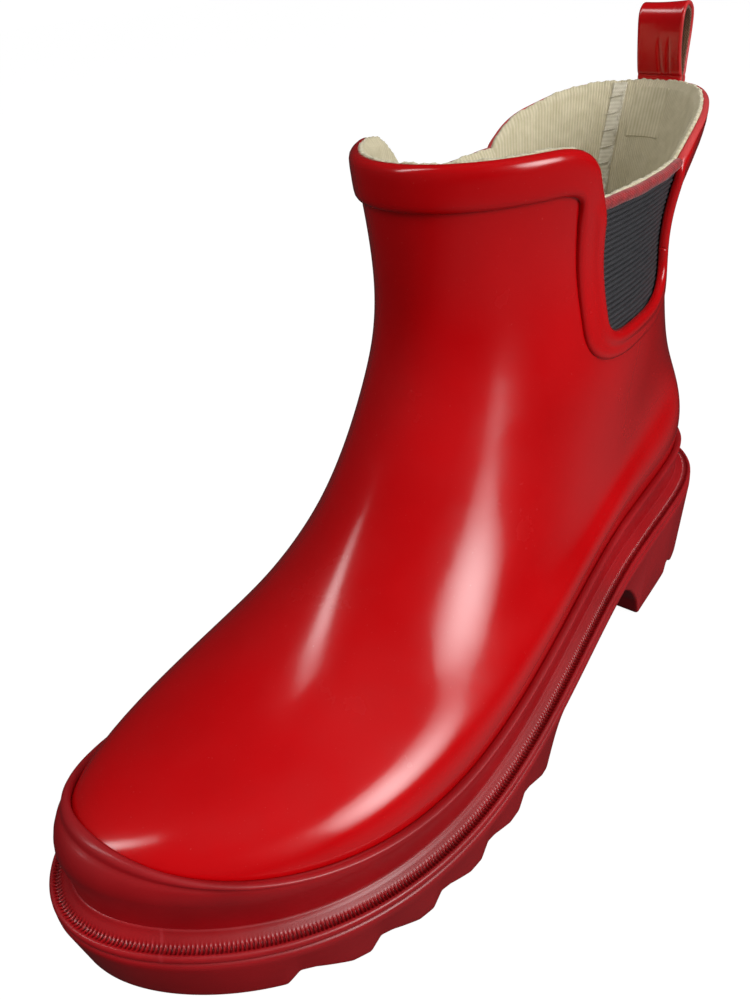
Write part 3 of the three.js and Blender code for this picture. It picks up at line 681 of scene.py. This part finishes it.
def make_gore(side, name):
    """Elastic panel with level ribs, each a soft bulge."""
    pitch = 1.6
    z = np.arange(GORE_FOOT_Z - 2.4, GORE_TOP_Z - 1, pitch / 8)
    key = np.linspace(z[0], z[-1], 12)
    front, back = gore_span(side, key, 2.2)
    front, back = np.interp(z, key, front), np.interp(z, key, back)
    across = np.linspace(0, 1, 90)
    a = mix(front[:, None], back[:, None], across[None])
    rib = np.abs(np.sin(math.pi * z / pitch)) ** 0.7
    ripple = 0.06 * np.sin(across * 61)[None] * np.sin(z * 1.3)[:, None]
    v = level_at(a, z[:, None])
    outer = skin(a, v, 0.15 + 0.5 * rib[:, None] + ripple)
    inner = skin(a, v, -0.6)
    obj = slab(name, outer, inner, ELASTIC, flow=lattice(z[:, None] - GORE_FOOT_Z, a * AROUND))
    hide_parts(name.replace("elastic", "gore"))
    return shaft(obj)


BINDING_SECTION = [(2.9, 0.5), (2.85, 1.0), (2.5, 1.45), (1.9, 1.7), (1.2, 1.75), (0.6, 1.6), (0.2, 1.2)]
BINDING_SECTION += [(0, 0.6), (0, -0.1), (0.2, -0.6), (0.7, -0.85), (1.8, -0.85), (2, 0.3)]


def make_binding(side, name):
    """Rounded strip folded over the gore's top edge."""
    section = np.array(BINDING_SECTION, float)
    steps = np.linspace(0, 1, 70)
    front, back = gore_span(side, np.array([GORE_TOP_Z - 1.0]), 1.6)
    a = mix(front, back, steps)[:, None] + np.zeros(len(section))[None]
    sag = 0.35 * np.sin(steps * math.pi)[:, None] + 0.1 * np.sin(steps * 19)[:, None]
    v = level_at(a, GORE_TOP_Z + 0.1 - sag - section[:, 0][None])
    points = skin(a, v, section[:, 1][None])
    rows, cols = points.shape[:2]
    flow = lattice(a * AROUND, section[:, 0][None])
    caps = section_caps(rows, cols)
    faces = np.concatenate([grid_faces(rows, cols, close_cols=True), caps])
    obj = build(name, points, faces, BINDING_RED, flow)
    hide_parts(name.replace("binding", "gore_binding"))
    return shaft(obj)


# ---- The sole ----


FOXING_TOP = 21.1


def cover_loop(a, out, up):
    """Loop that lies on the upper, lower beside the foot than at the toe. There its lip is drawn together."""
    x = skin_point(a, 0.0)[..., 0]
    up = FOXING_TOP - (FOXING_TOP - up) * mix(1, 0.5, smooth(0.3, 0.9, np.cos(a)))
    base = FEATHER + 1
    share = mix(FOXING_SIDE, 1, smooth(*FOXING_FALL, x))
    return skin(a, level_at(a, rim(x) + base + (up - base) * share), out)


FOXING_STANDING = [(3.8, 0.3), (3.85, 2.5), (3.8, 5.5), (3.75, 8.5)]
FOXING_LYING = [(3.75, 11), (3.72, 13), (3.68, 15), (3.6, 17), (3.45, 18.3), (3.2, 18.8), (3.35, 19.2)]
FOXING_LYING += [(3.75, 19.55), (3.95, 20), (3.9, 20.5), (3.55, 20.95), (2.9, FOXING_TOP), (2.2, 20.95)]
FOXING_LYING += [(1.75, 20.7), (1.56, 20.4), (1.55, 19), (1.55, 15), (1.55, 11)]


def ring(name, loops, material, node):
    points = np.stack(loops)
    rows, cols = points.shape[:2]
    flow = lattice(np.arange(rows)[:, None] * 1.0, np.arange(cols)[None] * 1.0)
    obj = build(name, points, grid_faces(rows, cols, True, True), material, flow)
    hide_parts(node)
    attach(obj, "foot")
    return obj


def make_foxing():
    a = np.linspace(0, TURN, 900, endpoint=False)
    by_heel = smooth(0.2, 1, -np.cos(a))
    depth = (0.18 + 0.4 * by_heel) * (1 - smooth(0.2, 0.85, np.cos(a)))
    wave = depth * (np.sin(9 * a + 1) + 0.6 * np.sin(23 * a) + 0.4 * np.sin(41 * a + 2)) * 0.4
    standing = [sole_loop(a, out, up) for out, up in FOXING_STANDING]
    lying = [cover_loop(a, out, up + wave * smooth(8, 18, up)) for out, up in FOXING_LYING]
    reach = TURN_RADIUS + 1.55
    under = [
        sole_loop(a, reach * math.cos(t) - TURN_RADIUS, FEATHER - reach * math.sin(t))
        for t in np.linspace(0, 1.3, 8)
    ]
    return ring("foxing", standing + lying + under, SOLE_RED, "foxing_band")


WELT_SECTION = [(9.3, 0.2), (9.7, 0.8), (9.85, 1.5), (9.75, 2.2), (9.45, 2.7), (9.0, 2.9), (8.6, 2.75)]
WELT_SECTION += [(8.35, 2.4), (8.1, 2.05), (7.75, 1.9), (7.35, 1.9), (6.95, 2.0), (6.6, 2.35), (6.3, 2.8)]
WELT_SECTION += [(5.9, 3.15), (5.2, 3.6), (4.7, 4.0), (4.35, 4.5), (4.05, 4.9), (3.4, 5.0), (3.4, 0.2)]
KNURL_PITCH = 1.05


def arc_angles(count_per_mm, out):
    """Angles round the sole at even steps along a loop beyond the plan."""
    fine = np.linspace(0, TURN, 4001)
    loop = sole_loop(fine, out, 0.0)
    length = np.concatenate([[0], np.cumsum(np.linalg.norm(np.diff(loop, axis=0), axis=1))])
    count = int(length[-1] * count_per_mm)
    return np.interp(np.linspace(0, length[-1], count, endpoint=False), length, fine), length[-1]


def make_welt():
    """Flange with a row of small cross ridges along its groove."""
    a, length = arc_angles(6, 7.5)
    ridges = round(length / KNURL_PITCH)
    phase = np.arange(len(a)) / len(a) * ridges * TURN
    ridge = np.clip(np.cos(phase) * 1.4, -0.4, 1)
    loops = []
    for out, up in WELT_SECTION:
        in_groove = smooth(6.2, 6.9, out) * (1 - smooth(8.1, 8.7, out)) if up > 1.8 else 0
        loops.append(sole_loop(a, out, up + 0.5 * ridge * in_groove))
    return ring("welt", loops, SOLE_RED, "welt_strip")


CLEAT_DEPTH, CLEAT_PITCH, CLEAT_FIRST_X, CLEAT_COUNT = 5, 20, 190, 5
HEEL_BREAST_X, HEEL_GROOVE_X, WAIST_END, WAIST_THICK = 9, -18, 92, 5


def tread_table():
    """Height of the underside over x: heel block, high waist, cleats; its corners rounded."""
    lift = TREAD_SPRING * toe_curve(np.arange(-90.0, 260.0, 0.1))
    points = [(-90, 0), (HEEL_GROOVE_X - 10, 0), (HEEL_GROOVE_X - 5, 4), (HEEL_GROOVE_X - 2, 4)]
    points += [(HEEL_GROOVE_X, 0), (HEEL_BREAST_X, 0), (HEEL_BREAST_X + 3, 9)]
    back, front = HEEL_BREAST_X + 30, WAIST_END - 14
    rise = float(rim(back)) - WAIST_THICK
    for w in np.linspace(0, 1, 7)[1:-1]:
        foot, knee = 1 - w, 2 * w * (1 - w)
        x = foot**2 * (HEEL_BREAST_X + 3) + knee * (back - 15) + w**2 * back
        points.append((x, foot**2 * 9 + (knee + w**2) * rise))
    points += [(x, float(rim(x)) - WAIST_THICK) for x in np.linspace(back, front, 6)]
    fall = float(rim(front)) - WAIST_THICK
    for w in np.linspace(0, 1, 9)[1:-1]:
        knee = 2 * w * (1 - w)
        points.append(((1 - w) ** 2 * front + knee * (front + 3.5) + w**2 * WAIST_END, (1 - w * w) * fall))
    points.append((WAIST_END, 0))
    for i in range(CLEAT_COUNT, 0, -1):
        x = CLEAT_FIRST_X - (i - 1) * CLEAT_PITCH
        points += [(x - 15, 0), (x - 6.5, CLEAT_DEPTH - 0.6), (x - 3.2, CLEAT_DEPTH), (x, 0)]
    points.append((260, 0))
    table = np.array(sorted(points), float)
    x = np.arange(-90, 260, 0.1)
    kernel = np.hanning(17)
    return x, np.convolve(np.interp(x, table[:, 0], table[:, 1]), kernel / kernel.sum(), "same") + lift


TREAD = tread_table()


def underside(x):
    return np.interp(x, *TREAD)


def make_outsole():
    a, _ = arc_angles(2.2, 6.0)
    half = len(a) // 2
    a = np.concatenate([np.linspace(0, math.pi, half + 1), np.linspace(math.pi, TURN, half + 1)[1:-1]])
    warp = sole_loop(a, 7.0, 0.0)
    length = np.concatenate([[0], np.cumsum(np.linalg.norm(np.diff(warp[: half + 1], axis=0), axis=1))])
    even = np.interp(np.linspace(0, length[-1], half + 1), length, a[: half + 1])
    a = np.concatenate([even, TURN - even[-2:0:-1]])

    def low(out, rise):
        p = sole_loop(a, out, 0.0)
        p[..., 2] = underside(p[..., 0]) + rise
        return p

    upper_edge = [(3.4, 0.3), (9.0, 0.25), (9.7, -0.1), (9.98, -0.8), (10, -2)]
    top = [sole_loop(a, out, up) for out, up in upper_edge]
    foot = [low(8.35, 1.6), low(8.2, 0.9), low(7.85, 0.35), low(7.3, 0.06), low(6.6, 0)]
    wall = [mix(top[-1], foot[0], s) for s in np.linspace(0, 1, 9)[1:-1]]
    loops = np.stack(top + wall + foot)
    rows, cols = loops.shape[:2]
    faces = [grid_faces(rows, cols, close_cols=True)]
    points = [loops.reshape(-1, 3)]
    across = np.linspace(0, 1, 25)
    for row, is_under in ((rows - 1, True), (0, False)):
        left, right = loops[row, : half + 1], loops[row, (-np.arange(half + 1)) % cols]
        rungs = mix(left[:, None], right[:, None], across[None, :, None])
        if is_under:
            rungs[..., 2] = underside(rungs[..., 0])
        base = sum(len(p) for p in points)
        points.append(rungs.reshape(-1, 3))
        inner = grid_faces(half + 1, len(across)) + base
        faces.append(inner)
    points = np.concatenate(points)
    flow = points * [1, 1, 0]
    obj = build("sole", points, np.concatenate(faces), SOLE_RED, flow)
    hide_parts("outsole")
    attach(obj, "foot")
    return obj


def make_footbed():
    """Cushioned footbed, cupped at its edge."""
    half = 220
    a = np.concatenate([np.linspace(0, math.pi, half + 1), np.linspace(math.pi, TURN, half + 1)[1:-1]])
    rows = [(-8.9, 2.7), (-8.7, 4.6), (-6.9, 5.6), (-4.4, 7.8), (-4.6, 8.3), (-5.4, 8.5)]
    loops = np.stack([sole_loop(a, out, up) for out, up in rows])
    faces, points = [grid_faces(len(rows), len(a), close_cols=True)], [loops.reshape(-1, 3)]
    across = np.linspace(0, 1, 31)
    for row, dish in ((len(rows) - 1, 2.4), (0, 0)):
        left, right = loops[row, : half + 1], loops[row, (-np.arange(half + 1)) % len(a)]
        rungs = mix(left[:, None], right[:, None], across[None, :, None])
        taper = smooth(0, 0.25, np.minimum(np.linspace(0, 1, half + 1), np.linspace(1, 0, half + 1)) * 2)
        rungs[..., 2] -= dish * smooth(0, 0.35, np.minimum(across, 1 - across))[None] * taper[:, None]
        base = sum(len(p) for p in points)
        points.append(rungs.reshape(-1, 3))
        faces.append(grid_faces(half + 1, len(across)) + base)
    points = np.concatenate(points)
    obj = build("footbed", points, np.concatenate(faces), FOOTBED, points * [1, 1, 0])
    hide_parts("sockliner")
    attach(obj, "foot")
    return obj


# ---- Inside the back ----

TAB_Y = 5.0
TAPE_Y = TAB_Y - 12.5


def back_angle_table():
    """Angles on the back of the boot over a grid of y and z, to look up in between."""
    y, z = np.linspace(-20, 20, 17), np.linspace(76, 182, 28)
    grid_y, grid_z = np.meshgrid(y, z, indexing="ij")
    return y, z, angle_where(1, grid_y, grid_z, math.pi / 2, 1.5 * math.pi)


BACK_ANGLES = back_angle_table()


def back_angle(y, z):
    """Angle at y and z on the back of the boot."""
    ys, zs, table = BACK_ANGLES
    i = np.clip((y - ys[0]) / (ys[1] - ys[0]), 0, len(ys) - 1.001)
    j = np.clip((z - zs[0]) / (zs[1] - zs[0]), 0, len(zs) - 1.001)
    i0, j0 = i.astype(int), j.astype(int)
    u, v = i - i0, j - j0
    low = mix(table[i0, j0], table[i0, j0 + 1], v)
    return mix(low, mix(table[i0 + 1, j0], table[i0 + 1, j0 + 1], v), u)


def back_patch(name, node, y_middle, width, z_low, z_high, outs, material):
    z = np.linspace(z_low, z_high, 90)
    y = y_middle + np.linspace(-0.5, 0.5, 25) * width
    a = back_angle(y[None] + 0 * z[:, None], z[:, None] + 0 * y[None])
    edge = np.minimum(np.arange(25), np.arange(25)[::-1])[None]
    wobble = 0.12 * np.sin(z * 0.9)[:, None]
    v = level_at(a, z[:, None])
    inner = skin(a, v, outs[0] + 0.25 * (edge < 1) + wobble * (edge < 3))
    outer = skin(a, v, outs[1])
    obj = slab(name, inner, outer, material, flow=lattice(z[:, None], y[None]))
    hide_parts(node)
    return shaft(obj)


def stitches(name, ends, radius, material):
    """One mesh of thread stitches, each a small bowed spindle between two points."""
    sides, steps = 6, 7
    points, faces = [], []
    for start, stop, out in ends:
        axis = unit(stop - start)
        side = unit(np.cross(axis, out))
        base = sum(len(p) for p in points)
        for s in np.linspace(0, 1, steps):
            bow = math.sin(s * math.pi)
            centre = mix(start, stop, s) + out * radius * 1.3 * bow
            r = radius * (0.35 + 0.65 * bow)
            turn = np.arange(sides) / sides * TURN
            points.append(centre + (np.cos(turn)[:, None] * side + np.sin(turn)[:, None] * out) * r)
        faces.append(grid_faces(steps, sides, close_cols=True) + base)
        faces.append(section_caps(steps, sides) + base)
    points = np.concatenate(points)
    obj = build(name, points, np.concatenate(faces), material, points * [1, 1, 0])
    return obj


def make_tape_stitches():
    """Level stitches across the seam tape, and a running line at its edge."""

    def on_lining(y, z, out):
        a = back_angle(y, z)
        return skin(a, level_at(a, z), out)

    z = np.arange(90.0, 172, 5.0)
    left, right = TAPE_Y - 2.9 + 0 * z, TAPE_Y + 1.9 + 0 * z
    crossing = (on_lining(left, z - 0.4, -3.05), on_lining(right, z + 0.4, -3.05))
    z = np.arange(86.0, 171, 2.4)
    running = (on_lining(TAPE_Y + 1.7 + 0 * z, z, -2.95), on_lining(TAPE_Y + 1.7 + 0 * z, z + 1.7, -2.95))
    ends = [(p, q, np.array([1.0, 0, 0])) for pair in (crossing, running) for p, q in zip(*pair)]
    return shaft(stitches("tape_stitches", ends, 0.22, THREAD))


# ---- The pull tab ----

TAB_PATH = [(-0.9, -8), (-0.9, -4), (-0.5, 0), (0.5, 3), (1.9, 7), (2.9, 12), (3.4, 17), (3.0, 20.2)]
TAB_PATH += [(1.4, 21.8), (-0.9, 21.9), (-3.2, 20.5), (-4.4, 17.6), (-4.6, 13), (-4.0, 8.5), (-3.3, 4.5)]
TAB_PATH += [(-2.9, 1), (-2.8, -2), (-2.8, -5), (-2.8, -8)]
TAB_HALF = 7.7


def tab_curve(inset, count):
    """Centre line of the folded strap in (x, z) from its root, and its outward normals."""
    knots = np.array(TAB_PATH, float)
    t = np.arange(len(knots), dtype=float)
    path = natural_spline(t, knots)(np.linspace(0, len(knots) - 1, count))
    along = unit(np.gradient(path, axis=0))
    normal = np.stack([along[:, 1], -along[:, 0]], -1)
    return path - normal * inset, normal


def strap(name, inset, thick, half, count, creases, material):
    path, normal = tab_curve(inset, count)
    corner = np.linspace(0, math.pi, 9)
    lie = np.linspace(-1, 1, 41)
    flat = half - thick / 2
    bend = [(flat + thick / 2 * math.sin(c), math.cos(c)) for c in corner[1:-1]]
    section = [(s * flat, 1.0) for s in lie] + bend
    section += [(-s * flat, -1.0) for s in lie] + [(-across, -lift) for across, lift in bend]
    section = np.array(section)
    y, lift = section[:, 0], section[:, 1] * thick / 2
    rise = path[:, 1][:, None]
    run = smooth(0, 3, rise) * (1 - smooth(9, 14, rise))
    fold = creases * run * np.exp(-(((y[None] - 0.9 + 0.08 * rise) / 0.55) ** 2))
    fold += creases * run * 0.8 * np.exp(-(((y[None] - 3.4) / 0.5) ** 2))
    fold += creases * 0.9 * np.exp(-(((rise - 1.6 + 0.05 * y[None]) / 0.6) ** 2))
    pinch = 1 - 0.03 * np.sin(np.clip(rise / 20, 0, 1) * math.pi)
    curl = 0.3 * (y[None] / half) ** 2
    off = lift[None] - fold + curl
    points = np.stack(
        [
            path[:, 0][:, None] + normal[:, 0][:, None] * off,
            np.broadcast_to(y[None] * pinch, off.shape),
            rise + normal[:, 1][:, None] * off,
        ],
        -1,
    )
    root = skin_point(math.pi, level_at(math.pi, BACK_TOP_Z))
    points = points + [root[0], TAB_Y, BACK_TOP_Z]
    rows, cols = points.shape[:2]
    # Pales the strap's rounded sides: partly a matt cut edge, partly a painted highlight.
    edge = np.clip(np.abs(y) - flat, 0, 1) * 0.7
    flow = np.stack(np.broadcast_arrays(rise, y[None], edge[None]), -1)
    caps = section_caps(rows, cols)
    obj = build(name, points, np.concatenate([grid_faces(rows, cols, close_cols=True), caps]), material, flow)
    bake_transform(obj)
    return obj


def make_tab():
    outer = strap("tab_strap", 0.0, 1.5, TAB_HALF, 190, 0.45, UPPER_RED)
    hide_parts("pull_tab")
    inner = strap("tab_lining", 1.12, 0.8, TAB_HALF - 0.35, 190, 0.3, WEBBING)
    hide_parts("pull_tab_webbing")


# ---- Build ----

make_upper()
make_lining()
shaft(make_trim("collar_and_gore_trim", 0, PARTING, "collar_front", "gore_trim_left", "gore_trim_right"))
shaft(make_trim("back_edge_trim", PARTING, 8, "collar_back", "back_trim_left", "back_trim_right"))
make_gore(1, "elastic_left")
make_gore(-1, "elastic_right")
make_binding(1, "binding_left")
make_binding(-1, "binding_right")
make_foxing()
make_welt()
make_outsole()
make_footbed()
back_patch("seam_tape", "lining_seam_tape", TAPE_Y, 4.6, 84, 173.8, (-2.95, -2.3), TAPE)
back_patch("tab_anchor_patch", "pull_tab_anchor", TAB_Y, 14, 158, 172.5, (-2.62, -2.3), LINING)
make_tape_stitches()
make_tab()

# ---- Stage, lights and camera ----

MIDDLE = (CAD_LOW + CAD_HIGH) / 2
ROOM_LIGHT = 0.42
TABLE, ROOM = 0.13, 0.02  # brightness in reflections: the table to the outer side, the rest of the room


def make_stage():
    """Pale floor: all but white to the camera, and out of the gloss's reflections."""
    mesh = bpy.data.meshes.new("floor")
    far = 6.0
    z = CAD_LOW.z - 0.0002
    mesh.from_pydata([(-far, -far, z), (far, -far, z), (far, far, z), (-far, far, z)], [], [(0, 1, 2, 3)])
    n = Nodes("floor_paper")
    n.finish(
        Base_Color=n.blend(n.noise(3, 2), (0.1, 0.1, 0.1, 1), (0.09, 0.09, 0.092, 1)),
        Roughness=1.0,
        Specular_IOR_Level=0.0,
        Emission_Color=(1, 1, 1, 1),
        Emission_Strength=n.math("MULTIPLY", n.add("ShaderNodeLightPath").outputs["Is Camera Ray"], 0.96),
    )
    mesh.materials.append(n.material)
    floor = bpy.data.objects.new("floor", mesh)
    floor.visible_glossy = False
    bpy.context.scene.collection.objects.link(floor)


def make_world():
    """White to the camera, even to the light, and a dark room with a pale table to the reflections."""
    world = bpy.data.worlds.new("studio")
    world.use_nodes = True
    bpy.context.scene.world = world
    tree = world.node_tree
    tree.nodes.clear()
    path = tree.nodes.new("ShaderNodeLightPath")
    white, room = tree.nodes.new("ShaderNodeBackground"), tree.nodes.new("ShaderNodeBackground")
    soft, choose = tree.nodes.new("ShaderNodeBackground"), tree.nodes.new("ShaderNodeMixShader")
    soft.inputs["Color"].default_value = (1, 1, 1, 1)
    soft.inputs["Strength"].default_value = ROOM_LIGHT
    white.inputs["Color"].default_value = (1, 1, 1, 1)
    white.inputs["Strength"].default_value = 1.05
    room.inputs["Color"].default_value = (0.95, 0.97, 1, 1)
    split = tree.nodes.new("ShaderNodeSeparateXYZ")
    tree.links.new(tree.nodes.new("ShaderNodeTexCoord").outputs["Generated"], split.inputs[0])
    table = None
    for axis, start, stop in (("Z", -0.12, -0.5), ("Y", 0.1, 0.6)):
        fade = tree.nodes.new("ShaderNodeMapRange")
        fade.inputs["From Min"].default_value = start
        fade.inputs["From Max"].default_value = stop
        tree.links.new(split.outputs[axis], fade.inputs["Value"])
        if table is None:
            table = fade.outputs["Result"]
            fade.inputs["To Max"].default_value = TABLE
            continue
        join = tree.nodes.new("ShaderNodeMath")
        join.operation = "MULTIPLY_ADD"
        join.inputs[2].default_value = ROOM
        tree.links.new(table, join.inputs[0])
        tree.links.new(fade.outputs["Result"], join.inputs[1])
        tree.links.new(join.outputs[0], room.inputs["Strength"])
    blend = tree.nodes.new("ShaderNodeMixShader")
    out = tree.nodes.new("ShaderNodeOutputWorld")
    tree.links.new(path.outputs["Is Camera Ray"], blend.inputs[0])
    tree.links.new(path.outputs["Is Glossy Ray"], choose.inputs[0])
    tree.links.new(soft.outputs[0], choose.inputs[1])
    tree.links.new(room.outputs[0], choose.inputs[2])
    tree.links.new(choose.outputs[0], blend.inputs[1])
    tree.links.new(white.outputs[0], blend.inputs[2])
    tree.links.new(blend.outputs[0], out.inputs[0])


def fade_edges(data):
    """Makes an area light brightest in the middle."""
    data.use_nodes = True
    tree = data.node_tree
    emission = tree.nodes["Emission"]
    spot = tree.nodes.new("ShaderNodeNewGeometry").outputs["Parametric"]
    shift = tree.nodes.new("ShaderNodeVectorMath")
    shift.operation = "SUBTRACT"
    shift.inputs[1].default_value = (0.5, 0.5, 0)
    length = tree.nodes.new("ShaderNodeVectorMath")
    length.operation = "LENGTH"
    fade = tree.nodes.new("ShaderNodeMapRange")
    fade.interpolation_type = "SMOOTHSTEP"
    for name, value in (("From Min", 0.05), ("From Max", 0.7), ("To Min", 2.2), ("To Max", 0.0)):
        fade.inputs[name].default_value = value
    tree.links.new(spot, shift.inputs[0])
    tree.links.new(shift.outputs["Vector"], length.inputs[0])
    tree.links.new(length.outputs["Value"], fade.inputs["Value"])
    tree.links.new(fade.outputs["Result"], emission.inputs["Strength"])


def soft_box(name, azimuth, elevation, distance, width, height, watts, seen=True):
    """Area light looking at the boot, its azimuth from +X towards +Y. seen is for the reflections."""
    data = bpy.data.lights.new(name, "AREA")
    data.shape = "RECTANGLE"
    data.size, data.size_y = width, height
    data.energy = watts
    if seen:
        fade_edges(data)
    obj = bpy.data.objects.new(name, data)
    a, e = math.radians(azimuth), math.radians(elevation)
    back = Vector((math.cos(a) * math.cos(e), math.sin(a) * math.cos(e), math.sin(e)))
    obj.location = MIDDLE + back * distance
    obj.visible_glossy = seen
    obj.rotation_mode = "QUATERNION"
    obj.rotation_quaternion = (-back).to_track_quat("-Z", "Y")
    bpy.context.scene.collection.objects.link(obj)


def make_camera():
    """Close view from the toe end of the outer side, looking down, rolled a little."""
    azimuth, elevation, roll = (math.radians(v) for v in (41.5, 34.3, -6.1))
    target = Vector(place([62.8, -37.6, 57]))
    level = math.cos(elevation)
    back = Vector((math.cos(azimuth) * level, math.sin(azimuth) * level, math.sin(elevation)))
    right = Vector((-math.sin(azimuth), math.cos(azimuth), 0))
    up = back.cross(right)
    across = right * math.cos(roll) + up * math.sin(roll)
    above = up * math.cos(roll) - right * math.sin(roll)
    data = bpy.data.cameras.new("camera")
    data.sensor_width = 36
    data.lens = 28.8
    data.clip_start = 0.01
    camera = bpy.data.objects.new("camera", data)
    matrix = Matrix((across, above, back)).transposed().to_4x4()
    matrix.translation = target + back * 0.2887
    camera.matrix_world = matrix
    bpy.context.scene.collection.objects.link(camera)
    bpy.context.scene.camera = camera


make_stage()
make_world()
soft_box("side_box", 90, 20, 0.9, 0.46, 0.66, 4.2)
soft_box("instep_strip", -36, 54, 0.9, 0.2, 0.72, 1.6)
soft_box("overhead_fill", 115, 66, 1.6, 1.2, 1.2, 5, seen=False)
soft_box("camera_fill", 88, 26, 1.2, 0.9, 0.9, 4.2, seen=False)
make_camera()
view_settings = bpy.context.scene.view_settings
view_settings.view_transform = "Standard"
view_settings.look = "None"
